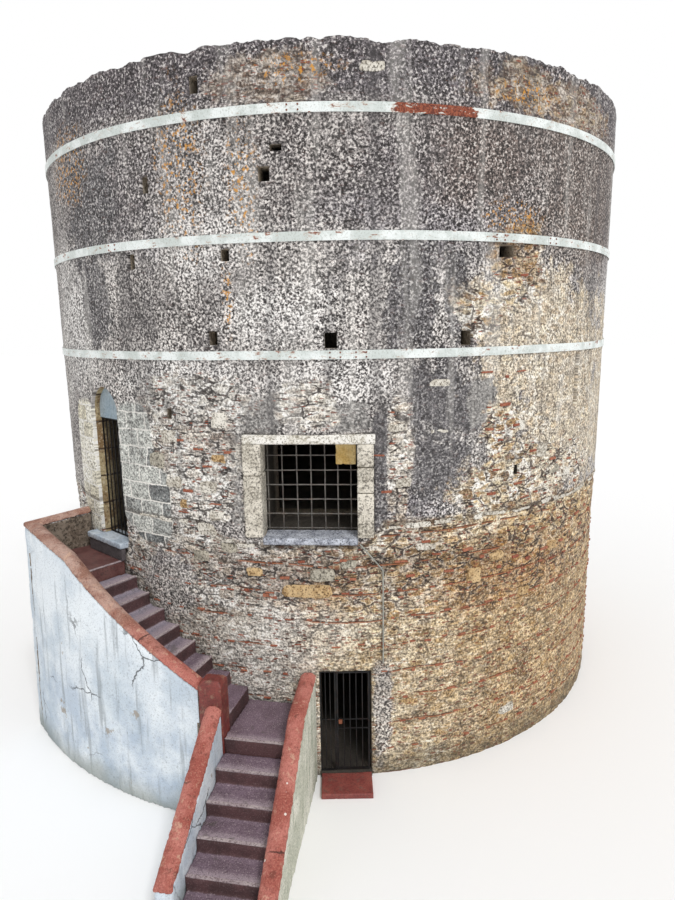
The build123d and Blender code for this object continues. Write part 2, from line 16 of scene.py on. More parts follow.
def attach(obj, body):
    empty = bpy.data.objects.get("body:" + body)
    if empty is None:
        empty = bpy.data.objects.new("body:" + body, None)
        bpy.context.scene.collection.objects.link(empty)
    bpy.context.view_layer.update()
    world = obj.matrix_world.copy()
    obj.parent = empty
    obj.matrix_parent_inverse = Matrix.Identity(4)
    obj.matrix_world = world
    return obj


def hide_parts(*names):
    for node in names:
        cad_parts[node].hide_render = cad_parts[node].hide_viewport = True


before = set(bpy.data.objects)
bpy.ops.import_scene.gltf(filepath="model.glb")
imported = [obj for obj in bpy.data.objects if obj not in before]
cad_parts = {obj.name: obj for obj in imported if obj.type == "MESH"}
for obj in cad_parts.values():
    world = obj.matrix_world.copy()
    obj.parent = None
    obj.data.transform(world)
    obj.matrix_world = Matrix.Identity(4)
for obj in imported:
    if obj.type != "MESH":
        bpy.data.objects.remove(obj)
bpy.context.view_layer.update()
LOG = logging.getLogger("tower")

TOWER_R = 5.4
CORE_R = 5.325
STOREY_Z = 3.4
WALL_TOP = 9.18
RIM_TOP = 10.32
RIM_INNER_R = 4.5
TERRACE_Z = 9.3
HOOP_CENTRES = (6.41, 7.95, 9.49)
HOOP_H = 0.12
HOOP_T = 0.012
WINDOW_AZ = -4.0
UPPER_DOOR_AZ = -43.1
STAIR_AZ = -10.5
UPPER_STAIR_W = 0.815
SMALL_HOLE = (30.7, 4.61)
SLOT = (46.6, 5.88)
COURSE_PITCH = 0.43
COURSE_R = 5.350
BED_R = 5.352
LEDGE_Z = 3.69
LEDGE_RISES = ((4.0, 8.0, 0.31), (-15.0, -24.0, 0.29))
MERGE = 0.00005
MOTTLE = (0.38, 0.62)
PITS = (0.46, 0.38)

Colour = tuple[float, float, float, float]
Triple = tuple[float, float, float]
Mesh = bpy.types.Mesh
Material = bpy.types.Material
Tree = bpy.types.NodeTree
Part = tuple[Mesh, Material]


class Body(Enum):
    """The bodies that a piece can ride on."""

    TOWER = "tower"
    GATE = "gate"


def paint(code: str) -> Colour:
    """Linear colour of a six-digit screen colour, with an alpha of one."""
    parts = [int(code[i:i + 2], 16) / 255 for i in (0, 2, 4)]
    linear = [v / 12.92 if v <= 0.04045 else ((v + 0.055) / 1.055) ** 2.4 for v in parts]
    return linear[0], linear[1], linear[2], 1.0


def around(radius: float, azimuth: float, height: float = 0.0) -> Vector:
    """Point at a radius, azimuth in degrees and height on the tower."""
    angle = math.radians(azimuth)
    return Vector((radius * math.sin(angle), -radius * math.cos(angle), height))


class Wire:
    """An output socket that Python's operators work on."""

    def __init__(self, web: "Web", socket: bpy.types.NodeSocket) -> None:
        """Wrap a socket of a tree."""
        self.web = web
        self.socket = socket

    def maths(self, operation: str, *terms: "Operand") -> "Wire":
        """Add a Math node on these terms."""
        return self.web.node("ShaderNodeMath", {"operation": operation}, dict(enumerate(terms)))

    def out(self, key: Union[int, str]) -> "Wire":
        """Another output of the same node."""
        return Wire(self.web, self.socket.node.outputs[key])

    def __add__(self, other: "Operand") -> "Wire":
        """Sum."""
        return self.maths("ADD", self, other)

    def __radd__(self, other: "Operand") -> "Wire":
        """Sum, reflected."""
        return self.maths("ADD", other, self)

    def __sub__(self, other: "Operand") -> "Wire":
        """Difference."""
        return self.maths("SUBTRACT", self, other)

    def __rsub__(self, other: "Operand") -> "Wire":
        """Difference, reflected."""
        return self.maths("SUBTRACT", other, self)

    def __mul__(self, other: "Operand") -> "Wire":
        """Product."""
        return self.maths("MULTIPLY", self, other)

    def __rmul__(self, other: "Operand") -> "Wire":
        """Product, reflected."""
        return self.maths("MULTIPLY", other, self)

    def __truediv__(self, other: "Operand") -> "Wire":
        """Quotient."""
        return self.maths("DIVIDE", self, other)

    def __rtruediv__(self, other: "Operand") -> "Wire":
        """Quotient, reflected."""
        return self.maths("DIVIDE", other, self)

    def __neg__(self) -> "Wire":
        """Negative."""
        return self.maths("MULTIPLY", self, -1.0)

    def __abs__(self) -> "Wire":
        """Size without its sign."""
        return self.maths("ABSOLUTE", self)

    def least(self, other: "Operand") -> "Wire":
        """The smaller of two values."""
        return self.maths("MINIMUM", self, other)

    def most(self, other: "Operand") -> "Wire":
        """The larger of two values."""
        return self.maths("MAXIMUM", self, other)

    def root(self) -> "Wire":
        """Square root."""
        return self.maths("SQRT", self)

    def smooth(self, low: float, high: float) -> "Wire":
        """Rise smoothly from 0 at low to 1 at high, or fall where high is below low."""
        settings = {"interpolation_type": "SMOOTHSTEP"}
        return self.web.node("ShaderNodeMapRange", settings, {0: self, 1: low, 2: high})


Operand = Union[Wire, float]
Tint = Union[Wire, Colour]


class Web:
    """A node tree of any kind, and the one way nodes are put in it."""

    def __init__(self, tree: Tree) -> None:
        """Wrap a tree."""
        self.tree = tree

    def node(
        self,
        kind: str,
        settings: Optional[Mapping[str, Any]] = None,
        sockets: Optional[Mapping[Union[int, str], Any]] = None,
        out: Union[int, str] = 0,
    ) -> Wire:
        """Add a node, set it up and give its sockets values or links.

        Args:
            kind: The node's type.
            settings: Its properties, or "stops" for a ramp's positions and colours.
            sockets: Values or wires by the input's name or number.
            out: The output to return.

        Returns:
            The chosen output.
        """
        made = self.tree.nodes.new(kind)
        for name, value in (settings or {}).items():
            if name == "stops":
                self._set_stops(made.color_ramp, value)
            else:
                setattr(made, name, value)
        for key, value in (sockets or {}).items():
            self.put(made.inputs[key], value)
        return Wire(self, made.outputs[out] if len(made.outputs) else made.inputs[0])

    @staticmethod
    def _set_stops(ramp: bpy.types.ColorRamp, stops: Sequence[tuple[float, Colour]]) -> None:
        """Give a ramp its stops."""
        while len(ramp.elements) < len(stops):
            ramp.elements.new(1.0)
        for element, (position, colour) in zip(ramp.elements, stops):
            element.position = position
            element.color = colour

    def put(self, socket: bpy.types.NodeSocket, value: Any) -> None:
        """Link a wire to an input, or set the input's value."""
        if isinstance(value, Wire):
            self.tree.links.new(value.socket, socket)
        else:
            socket.default_value = value

    def split(self, vector: Wire) -> Wire:
        """X of a vector; its outputs 1 and 2 are Y and Z."""
        return self.node("ShaderNodeSeparateXYZ", {}, {0: vector})

    def vector(self, x: Operand = 0.0, y: Operand = 0.0, z: Operand = 0.0) -> Wire:
        """A vector of three parts."""
        return self.node("ShaderNodeCombineXYZ", {}, {0: x, 1: y, 2: z})

    def scale(self, place: Wire, factors: Triple) -> Wire:
        """Multiply a vector part by part."""
        return self.node("ShaderNodeVectorMath", {"operation": "MULTIPLY"}, {0: place, 1: factors})

    def shift(self, place: Wire, by: Any) -> Wire:
        """Add a vector to a vector."""
        return self.node("ShaderNodeVectorMath", {"operation": "ADD"}, {0: place, 1: by})

    def grown(self, vector: Wire, factor: Operand) -> Wire:
        """Multiply a vector by a number."""
        return self.node("ShaderNodeVectorMath", {"operation": "SCALE"}, {"Vector": vector, "Scale": factor})

    def noise(
        self, place: Wire, scale: float, detail: float = 3.0, rough: float = 0.55, at: Optional[Triple] = None
    ) -> Wire:
        """Noise between 0 and 1, with scale waves a metre.

        Args:
            place: Where it is taken.
            scale: Waves a metre.
            detail: Its octaves.
            rough: How strong the finer octaves are.
            at: How far the pattern is moved.

        Returns:
            The noise.
        """
        if at is not None:
            place = self.shift(place, at)
        sockets = {"Vector": place, "Scale": scale, "Detail": detail, "Roughness": rough}
        return self.node("ShaderNodeTexNoise", {}, sockets)

    def cells(self, place: Wire, feature: str = "F1") -> Wire:
        """Voronoi cells, one to a unit of the place given."""
        return self.node("ShaderNodeTexVoronoi", {"feature": feature}, {"Vector": place, "Scale": 1.0})

    def mix(self, factor: Operand, first: Tint, second: Tint, blend: str = "MIX") -> Wire:
        """Blend two colours."""
        settings = {"data_type": "RGBA", "blend_type": blend}
        return self.node("ShaderNodeMix", settings, {0: factor, 6: first, 7: second}, out=2)

    def over(self, colour: Tint, mask: Operand, code: str) -> Wire:
        """Lay a screen colour over another where the mask is one."""
        return self.mix(mask, colour, paint(code))

    def tones(self, factor: Operand, first: str, second: str) -> Wire:
        """Blend two screen colours."""
        return self.mix(factor, paint(first), paint(second))

    def ramp(self, factor: Wire, stops: Sequence[tuple[float, Colour]]) -> Wire:
        """Colour from a value by a ramp's stops."""
        return self.node("ShaderNodeValToRGB", {"stops": stops}, {0: factor})

    def bump(self, height: Wire, distance: float) -> Wire:
        """Normal from a height, which is one at the full distance in metres."""
        return self.node("ShaderNodeBump", {}, {"Height": height, "Distance": distance, "Strength": 1.0})


class Surface(Web):
    """A material's node tree with one Principled shader."""

    def __init__(self, name: str) -> None:
        """Start a material of this name."""
        self.material = bpy.data.materials.new(name)
        self.material.use_nodes = True
        super().__init__(self.material.node_tree)
        self.shader = self.tree.nodes["Principled BSDF"]
        self.place = self.node("ShaderNodeTexCoord", {}, {}, out="Object")

    def cracks(self, bend: Triple, cell: float, some: Triple, width: tuple[float, float]) -> Wire:
        """Mask of thin cracks in some places.

        Args:
            bend: Waves a metre, octaves and reach in metres of what bends the cracks.
            cell: Cells a metre between the cracks.
            some: Waves a metre of the places, and the noise at which they start and are full.
            width: Distance in cells at which a crack starts and is full.

        Returns:
            The mask.
        """
        waves, octaves, reach = bend
        sway = self.noise(self.place, waves, octaves, 0.6).out("Color")
        bent = self.shift(self.place, self.scale(sway, (reach, reach, reach)))
        edge = self.cells(self.scale(bent, (cell, cell, cell)), "DISTANCE_TO_EDGE")
        there = self.noise(self.place, some[0], 2.0, 0.5, at=(2.0, 9.0, 5.0)).smooth(some[1], some[2])
        return edge.smooth(*width) * there

    def close(self, **sockets: Any) -> Material:
        """Set the shader's sockets, named with underscores for spaces; gives the material."""
        for name, value in sockets.items():
            self.put(self.shader.inputs[name.replace("_", " ")], value)
        return self.material


@dataclass(frozen=True)
class Weathered:
    """A worn mineral or painted surface: two tones, grains, stains and runs."""

    name: str
    base: str
    pale: str
    dark: str
    stain: str
    patch: float = 1.5
    grain: float = 60.0
    grain_strength: float = 0.5
    stained: float = 0.3
    runs: float = 0.0
    rough: tuple[float, float] = (0.75, 0.95)
    pits: float = 0.003
    metal: float = 0.0

    def make(self) -> Material:
        """Build the material."""
        web = Surface(self.name)
        broad = web.noise(web.place, self.patch, 5.0, 0.6)
        fine = web.noise(web.place, self.grain, 2.0, 0.75)
        colour = web.tones(broad.smooth(*MOTTLE), self.base, self.pale)
        spots = web.noise(web.place, self.patch * 3.1, 4.0, 0.65, at=(3.1, 7.7, 1.3))
        stain = spots.smooth(0.5, 0.68) * self.stained
        if self.runs:
            drawn = web.scale(web.place, (9.0, 9.0, 0.7))
            run = web.noise(drawn, 1.0, 3.0, 0.6).smooth(0.48, 0.72) * self.runs
            stain = stain.most(run)
        colour = web.over(colour, stain, self.stain)
        colour = web.over(colour, fine.smooth(0.47, 0.40) * self.grain_strength, self.dark)
        colour = web.over(colour, fine.smooth(0.54, 0.62) * self.grain_strength, self.pale)
        rough = self.rough[0] + fine * (self.rough[1] - self.rough[0])
        height = fine * 0.6 + spots * 0.4
        return web.close(
            Base_Color=colour, Roughness=rough, Metallic=self.metal, Normal=web.bump(height, self.pits)
        )


@dataclass(frozen=True)
class Zone:
    """A patch of the wall: its middle's azimuth and height, and its half sizes."""

    azimuth: float
    height: float
    half_angle: float
    half_height: float


def zones_of(*rows: tuple[float, float, float, float]) -> tuple[Zone, ...]:
    """Zones from rows of their four numbers."""
    return tuple(Zone(*row) for row in rows)


BARE = zones_of(
    (-22.5, 4.85, 8.5, 0.95), (-23.0, 5.75, 10.0, 0.42), (-4.2, 5.72, 4.2, 0.36), (9.6, 5.0, 1.9, 0.9),
    (29.0, 7.55, 6.0, 0.6), (22.5, 6.9, 3.5, 0.35), (35.0, 4.45, 18.0, 0.5), (27.0, 5.2, 4.0, 0.5),
    (-8.0, 9.85, 9.0, 0.3), (36.0, 9.85, 16.0, 0.35), (118.0, 5.4, 13.0, 1.1), (171.0, 8.4, 12.0, 0.8),
    (-128.0, 6.9, 14.0, 0.9), (-95.0, 4.6, 10.0, 0.8),
)
DARK = zones_of(
    (11.2, 7.2, 3.7, 0.75), (18.3, 7.2, 1.7, 0.65), (14.8, 5.8, 4.6, 0.6), (18.5, 5.6, 7.3, 0.36),
    (16.5, 4.75, 4.8, 0.6), (6.7, 4.8, 1.1, 0.85), (-43.0, 8.5, 7.0, 0.75), (-42.0, 7.2, 3.4, 0.6),
    (100.0, 8.2, 12.0, 1.4), (160.0, 5.2, 9.0, 1.0), (-150.0, 8.6, 10.0, 1.0),
)
CEMENT = zones_of(
    (-11.5, 5.5, 3.4, 0.32), (2.0, 5.58, 3.2, 0.17), (-15.3, 4.7, 1.0, 0.7), (23.5, 5.65, 2.6, 0.3),
    (130.0, 4.5, 4.0, 0.4),
)
DIM = zones_of(
    (-38.0, 8.7, 14.0, 0.8), (16.0, 8.5, 18.0, 0.9), (13.0, 4.2, 5.0, 0.5), (0.0, 3.35, 26.0, 0.3),
    (62.0, 8.4, 14.0, 0.9), (-100.0, 7.4, 20.0, 0.9), (140.0, 6.4, 15.0, 0.8),
)
PALE = zones_of(
    (-19.0, 8.4, 7.0, 1.0), (-9.0, 6.95, 8.0, 0.4), (0.5, 6.05, 9.5, 0.35), (-53.0, 6.9, 9.0, 1.1),
    (-24.0, 6.1, 12.0, 0.3), (70.0, 7.0, 12.0, 1.2), (-170.0, 6.6, 14.0, 1.0),
)
PLASTER = zones_of(
    (33.0, 6.9, 12.0, 0.75), (43.0, 6.2, 16.0, 1.1), (27.5, 6.1, 4.0, 0.75), (48.0, 5.1, 16.0, 0.9),
    (66.0, 5.8, 12.0, 1.3), (-160.0, 4.8, 12.0, 0.7),
)
LICHEN = zones_of(
    (-22.0, 8.8, 3.4, 0.85), (-12.5, 8.6, 2.0, 0.75), (-4.0, 9.95, 5.0, 0.15), (28.0, 8.25, 5.0, 0.2),
    (30.0, 9.8, 6.0, 0.2), (-49.0, 9.2, 6.0, 0.5), (-15.3, 7.15, 0.8, 0.5), (145.0, 9.0, 14.0, 0.9),
)
LOW_COAT = zones_of((-29.0, 2.9, 5.0, 0.5), (6.9, 1.1, 1.7, 0.9))
CREAM = zones_of(
    (-22.0, 4.5, 8.0, 0.6), (-6.0, 2.3, 8.0, 0.5), (-14.0, 1.7, 7.0, 0.6), (9.6, 5.0, 3.0, 0.9),
    (-4.5, 5.75, 6.0, 0.5), (-22.0, 5.8, 9.0, 0.4), (46.0, 4.5, 12.0, 0.4), (-150.0, 2.2, 14.0, 0.7),
)
OCHRE = zones_of(
    (-4.0, 3.0, 7.0, 0.4), (-20.0, 5.2, 4.0, 0.4), (28.0, 7.75, 6.0, 0.4), (30.0, 2.9, 16.0, 0.5),
)
BROWN = zones_of(
    (24.0, 9.0, 9.0, 0.6), (48.0, 9.0, 20.0, 1.3), (18.0, 3.1, 4.0, 0.55), (-2.0, 10.1, 9.0, 0.2),
    (-35.0, 10.1, 22.0, 0.2),
)
ASHLAR = zones_of(
    (-35.0, 4.7, 4.4, 1.0), (-32.0, 4.15, 4.6, 0.6), (-50.9, 4.5, 4.2, 1.15),
)


def ledge_height(azimuth: float) -> float:
    """Height of the set-off between the two kinds of wall at an azimuth."""
    height = LEDGE_Z
    for start, end, rise in LEDGE_RISES:
        height += rise * min(max((azimuth - start) / (end - start), 0.0), 1.0)
    return height


class WallMap:
    """The wall's azimuths, heights and patches, for the relief and for the colours alike."""

    STONE = (4.1, 4.1, 7.6)
    BLOCK_W = 0.43
    BLOCK_H = 0.27

    def __init__(self, web: Web, place: Wire) -> None:
        """Lay the map over a tree, from a point near the wall in metres."""
        self.web = web
        across = web.split(place)
        back = across.out(1)
        self.height = across.out(2)
        radius = (across * across + back * back).root()
        self.azimuth = across.maths("ARCTAN2", across, -back) * (180.0 / math.pi)
        wide = TOWER_R / radius
        self.place = web.vector(across * wide, back * wide, self.height + (CORE_R - radius).most(0.0))
        self.wobble = web.noise(self.place, 1.7, 6.0, 0.62) - 0.5
        self.fray = web.noise(self.place, 7.0, 4.0, 0.65, at=(6.0, 2.0, 9.0)) - 0.5
        self.broad = web.noise(self.place, 0.55, 4.0, 0.55, at=(11.0, 5.0, 2.0))
        sway = web.noise(self.place, 3.1, 3.0, 0.6).out("Color")
        ripple = web.noise(self.place, 13.0, 2.0, 0.6).out("Color")
        bent = web.shift(self.place, web.scale(sway, (0.17, 0.17, 0.09)))
        bent = web.scale(web.shift(bent, web.scale(ripple, (0.07, 0.07, 0.045))), self.STONE)
        self.stone = web.cells(bent)
        self.joint = web.cells(bent, "DISTANCE_TO_EDGE")
        right, left = (self.azimuth.smooth(start, end) * rise for start, end, rise in LEDGE_RISES)
        self.above = self.height - LEDGE_Z - right - left + self.wobble * 0.10
        self.blocks = self._blocks()

    def _blocks(self) -> Wire:
        """Squared blocks as a brick pattern; its Fac is one in the joints."""
        along = (self.azimuth * (math.pi / 180.0 * TOWER_R)) + self.wobble * 0.16
        up = self.height - STOREY_Z + self.wobble * 0.12 + self.fray * 0.02
        flat = self.web.vector(along, up)
        sockets = {
            "Vector": flat, "Scale": 1.0, "Mortar Size": 0.014, "Mortar Smooth": 0.5, "Bias": 0.0,
            "Brick Width": self.BLOCK_W, "Row Height": self.BLOCK_H,
            "Color1": (0.0, 0.0, 0.0, 1.0), "Color2": (1.0, 1.0, 1.0, 1.0), "Mortar": (0.5, 0.5, 0.5, 1.0),
        }
        return self.web.node("ShaderNodeTexBrick", {"offset": 0.42}, sockets)

    def zones(
        self, zones: Iterable[Zone], soft: float = 0.22, ragged: float = 1.8, boxy: bool = False
    ) -> Wire:
        """Mask that is one inside any of the zones.

        Args:
            zones: The zones.
            soft: How wide the edge is, as a share of the zone.
            ragged: How far the edge strays.
            boxy: Whether the zones have straight sides.

        Returns:
            The mask.
        """
        nearest = reduce(Wire.least, (self._far(zone, boxy) for zone in zones))
        return (nearest + (self.wobble + self.fray * 0.6) * ragged).smooth(1.0 + soft, 1.0 - soft)

    def _far(self, zone: Zone, boxy: bool) -> Wire:
        """Distance from a zone's middle, which is one at its edge."""
        across = (self.azimuth - zone.azimuth) / zone.half_angle
        up = (self.height - zone.height) / zone.half_height
        if not boxy:
            return (across * across + up * up).root()
        across = across * across
        up = up * up
        return (across * across + up * up).root().root()

    def hoop_bands(self) -> Wire:
        """Mask that is one just behind the hoops."""
        nearest = reduce(Wire.least, (abs(self.height - centre) for centre in HOOP_CENTRES))
        return nearest.smooth(0.11, 0.075)

    def squared(self) -> Wire:
        """Mask of the squared blocks beside the upper doorway."""
        return self.zones(ASHLAR, 0.04, 0.25, True)

    def coat(self) -> Wire:
        """Mask of the wall that still has its render."""
        high = self.above.smooth(0.0, 0.12)
        behind = abs(self.azimuth).smooth(60.0, 75.0)
        worn = self.zones(BARE, 0.2).most(self.broad.smooth(0.60, 0.66) * behind)
        kept = high * (1.0 - worn)
        return kept.most(self.zones(LOW_COAT) * 0.85)

    def relief(self) -> Wire:
        """How far the wall stands out from its outer radius, in metres, never above zero."""
        web = self.web
        coat = self.coat()
        tone = web.split(self.stone.out("Color"))
        upper = self.height.smooth(3.3, 4.0)
        proud = self.joint.smooth(0.02, 0.22) * (0.010 + upper * 0.014) + tone * (0.008 + upper * 0.010)
        rough = web.noise(self.place, 9.0, 4.0, 0.6) - 0.5
        rubble = proud + rough * 0.020 - 0.042
        render = -0.014 + self.wobble * 0.026 + rough * 0.014
        level = rubble + coat * (render - rubble)
        block = -0.006 + rough * 0.008 - self.blocks.out("Fac") * 0.016
        level = level + self.squared() * (block - level)
        below = self.above.smooth(0.03, -0.03)
        level = level - below * 0.006
        band = self.hoop_bands()
        level = level + band * (-0.002 - level)
        return level.least(-0.001)


@dataclass(frozen=True)
class Masonry:
    """The wall's finish: render, bare rubble, brick shards, grains, lichen and runs, with painted shadows in
    open joints, under stones, along the brick courses and along the set-off.
    """

    name: str = "weathered masonry"

    def make(self) -> Material:
        """Build the material."""
        web = Surface(self.name)
        wall = WallMap(web, web.place)
        coat = wall.coat()
        squared = wall.squared()
        shade = wall.zones(DARK, 0.12, 2.3, True) * coat
        cement = wall.zones(CEMENT, 0.12, 2.2, True)
        plaster = wall.zones(PLASTER, 0.14, 2.2, True) * coat
        colour = self._render(web, wall, shade, plaster)
        colour = web.mix(coat * (1.0 - plaster * 0.4), self._rubble(web, wall), colour)
        colour = web.over(colour, cement * coat, "8a8784")
        colour = web.mix(squared, colour, self._ashlar(web, wall))
        grain = web.noise(wall.place, 29.0, 1.6, 0.65, at=(5.0, 9.0, 4.0))
        smooth = (cement * 0.8).most(shade * wall.height.smooth(6.3, 6.0) * 0.6).most(plaster * 0.7)
        colour = self._speckle(web, wall, colour, grain, (coat * (1.0 - squared), shade, smooth))
        pointed = web.noise(wall.place, 3.0, 3.0, 0.6, at=(3.0, 3.0, 7.0)).smooth(0.34, 0.50)
        colour = web.over(colour, wall.blocks.out("Fac") * squared * pointed * 0.9, "e6e3dc")
        colour = self._bricks(web, wall, colour, coat.most(squared))
        colour = self._growth(web, wall, colour)
        height = grain * 1.1 + wall.wobble * 0.5
        rough = 0.82 + grain * 0.15
        return web.close(Base_Color=colour, Roughness=rough, Normal=web.bump(height, 0.018))

    def _render(self, web: Surface, wall: WallMap, shade: Wire, plaster: Wire) -> Wire:
        """Colour of the render."""
        tone = web.noise(wall.place, 1.1, 5.0, 0.62, at=(1.0, 2.0, 8.0))
        colour = web.tones(tone.smooth(0.35, 0.65), "807b79", "aaa5a1")
        colour = web.over(colour, wall.zones(PALE, 0.5), "bcb8b5")
        colour = web.over(colour, wall.zones(DIM, 0.5, 2.2) * 0.6, "6f6b71")
        colour = web.over(colour, plaster, "c6b9a5")
        colour = web.over(colour, wall.zones(BROWN, 0.6) * 0.75, "5f4c3d")
        colour = web.over(colour, (wall.height + wall.wobble).smooth(7.9, 8.6) * 0.5, "6c6563")
        top = (wall.height + wall.wobble * 0.8).smooth(9.45, 9.8)
        colour = web.over(colour, top * 0.8, "585357")
        return web.over(colour, shade, "676465")

    def _rubble(self, web: Surface, wall: WallMap) -> Wire:
        """Colour of bare stones and their mortar, with painted shadow in the open joints and in short strokes
        under the stones.
        """
        tone = web.split(wall.stone.out("Color"))
        codes = {
            0.0: "7c654c", 0.2: "ad9168", 0.4: "94795a", 0.55: "c9b08a", 0.7: "8c7f72", 0.85: "d8c6a2",
            1.0: "b08b58",
        }
        stone = web.ramp(tone, tuple((place, paint(code)) for place, code in codes.items()))
        mortar = web.noise(wall.place, 4.3, 3.0, 0.6).smooth(0.45, 0.55)
        mortar_and_shadow_strokes = web.noise(web.scale(wall.place, (5.5, 5.5, 25.0)), 1.0, 2.0, 0.6)
        sandy = web.tones(mortar, "ab9572", "cdbb9c")
        bed = web.tones(mortar, "d2c5ac", "f5efe4")
        upper = wall.height.smooth(3.2, 4.0)
        colour = web.mix(wall.joint.smooth(0.21, 0.10) * (0.6 + upper * 0.3), stone, bed)
        covered = (wall.height + wall.wobble * 1.2).smooth(3.0, 2.3)
        colour = web.mix((1.0 - upper) * covered * mortar.most(0.5) * 0.8, colour, sandy)
        colour = web.over(colour, mortar_and_shadow_strokes.smooth(0.57, 0.66) * 0.6, "f1e9da")
        colour = web.over(colour, wall.zones(OCHRE, 0.4) * 0.4, "a87f4c")
        colour = web.over(colour, wall.zones(CREAM, 0.4, 2.0) * 0.4, "e9e0d0")
        # painted shadow: near-black in the open joints, where shade falls beneath the stones
        open_joint = web.noise(wall.place, 3.4, 3.0, 0.6, at=(4.0, 4.0, 4.0)).smooth(0.44, 0.56)
        joint_shadow = wall.joint.smooth(0.12, 0.04) * open_joint * (0.92 - covered * 0.42)
        colour = web.over(colour, joint_shadow, "35231a")
        # painted shadow under the stones, in dark short strokes; the pale strokes above are mortar
        colour = web.over(colour, mortar_and_shadow_strokes.smooth(0.43, 0.37) * (0.85 - covered * 0.4), "33241b")
        side = wall.azimuth + wall.wobble * 30.0
        warm = side.smooth(4.0, 30.0) * side.smooth(110.0, 90.0)
        colour = web.mix(warm * wall.above.smooth(0.3, -0.2), colour, paint("ecdec8"), "MULTIPLY")
        greyer = side.smooth(6.0, -14.0)
        high = (wall.height + wall.wobble).smooth(3.7, 4.4) * side.smooth(18.0, 6.0) * 0.8
        full = 1.0 - greyer.most(high) * 0.55
        sockets = {"Hue": 0.5, "Saturation": full, "Value": 1.0, "Fac": 1.0, "Color": colour}
        colour = web.node("ShaderNodeHueSaturation", {}, sockets)
        colour = web.mix(wall.zones(DIM, 0.5, 2.2) * 0.6, colour, paint("a3978f"), "MULTIPLY")
        return web.over(colour, wall.height.smooth(8.8, 9.3) * 0.6, "6d5a4e")

    def _ashlar(self, web: Surface, wall: WallMap) -> Wire:
        """Colour of the squared blocks beside the upper doorway."""
        tone = web.split(wall.blocks)
        block = web.tones(tone, "66696a", "cccdc6")
        quoin = web.tones(tone, "c0b9a4", "eee9da")
        block = web.mix(wall.azimuth.smooth(-43.0, -44.0), block, quoin)
        return web.over(block, wall.blocks.out("Fac"), "e4e1da")

    def _speckle(
        self, web: Surface, wall: WallMap, colour: Wire, grain: Wire, masks: tuple[Wire, Wire, Wire]
    ) -> Wire:
        """Lighter and darker blotches and grains that keep a colour's hue.

        Args:
            web: The material.
            wall: Its map of the wall.
            colour: The colour to break up.
            grain: Fine noise.
            masks: The render, its dark patches, and where it is smooth.

        Returns:
            The broken colour.
        """
        coat, shade, smooth = masks
        rows = web.noise(web.scale(wall.place, (5.0, 5.0, 15.0)), 1.0, 3.0, 0.6)
        blotch = web.noise(wall.place, 8.5, 3.0, 0.6) * coat + rows * (1.0 - coat)
        grit = web.noise(wall.place, 38.0, 1.0, 0.6, at=(2.0, 1.0, 6.0))
        share = web.noise(wall.place, 1.6, 4.0, 0.6, at=(9.0, 3.0, 7.0)).smooth(0.36, 0.64)
        strong = (0.42 + coat * 0.58) * (0.70 + share * 0.30) * (1.0 - smooth * 0.65)
        light = strong * (1.0 - shade * 0.15)
        gain = 1.0 - blotch.smooth(0.50, 0.34) * 0.40 + blotch.smooth(0.52, 0.68) * 0.35
        gain = gain * (1.0 - grain.smooth(0.49, 0.42) * strong * 0.75)
        gain = gain * (1.0 - grit.smooth(0.46, 0.40) * strong * 0.60)
        gain = gain + grain.smooth(0.53, 0.60) * light * 1.1 + grit.smooth(0.55, 0.62) * light * 0.8
        lit = web.grown(colour, gain.most(0.08))
        lit = web.node("ShaderNodeVectorMath", {"operation": "MINIMUM"}, {0: lit, 1: (0.93, 0.92, 0.90)})
        lit = web.over(lit, grain.smooth(0.58, 0.64) * light * 0.6, "f4efe8")
        deep = grain.smooth(0.42, 0.36).most(grit.smooth(0.40, 0.35) * 0.8)
        return web.over(lit, deep * strong.most((1.0 - coat) * 0.5) * 0.95, "262120")

    def _bricks(self, web: Surface, wall: WallMap, colour: Wire, covered: Wire) -> Wire:
        """Brick shards in the rubble and the long thin courses of the lower wall, with a painted shadow line
        along each course and pits that are partly painted shade.
        """
        for cell, share in (((7.5, 7.5, 27.0), 0.91), ((12.0, 12.0, 44.0), 0.86)):
            shard = web.cells(web.scale(wall.place, cell))
            pick = web.split(shard.out("Color"))
            tone = web.tones(pick.out(1), "9c5238", "5f4034")
            there = pick.smooth(share, share + 0.02) * shard.smooth(0.44, 0.32)
            colour = web.mix(there * (1.0 - covered * 0.9) * 0.85, colour, tone)
        low = (0.35 + wall.above.smooth(0.3, -0.1) * 0.65) * (1.0 - covered)
        pit = web.cells(web.scale(wall.place, (10.5, 10.5, 24.0)))
        chosen = web.split(pit.out("Color"))
        crowd = web.noise(wall.place, 2.2, 3.0, 0.6, at=(8.0, 1.0, 5.0)).smooth(0.44, 0.58)
        # dark pits, brick-red to near-black: partly painted shade in small hollows
        hollow = chosen.smooth(0.75, 0.77) * pit.smooth(0.44, 0.30) * (0.25 + crowd * 0.75)
        colour = web.mix(hollow * low * 0.9, colour, web.tones(chosen.out(1), "7c3c28", "24150f"))
        bend = (web.noise(web.scale(wall.place, (0.6, 0.6, 0.15)), 1.0, 2.0, 0.5) - 0.5) * 0.20
        turn = (wall.height + bend + wall.wobble * 0.03 + 0.225) / COURSE_PITCH
        line = (wall.height.maths("FRACT", turn) - 0.5) * COURSE_PITCH
        part = web.noise(web.scale(wall.place, (1.7, 1.7, 6.0)), 1.0, 2.0, 0.6).smooth(0.47, 0.54)
        dash = web.noise(web.scale(wall.place, (15.0, 15.0, 4.0)), 1.0, 1.0, 0.6).smooth(0.36, 0.44)
        there = part * dash * wall.above.smooth(0.3, -0.1) * (1.0 - covered)
        colour = web.over(colour, abs(line + 0.006).smooth(0.018, 0.008) * there * 0.75, "a0603c")
        # painted shadow: a dark line along each course
        return web.over(colour, abs(line - 0.008).smooth(0.012, 0.005) * there * 0.85, "3c2318")

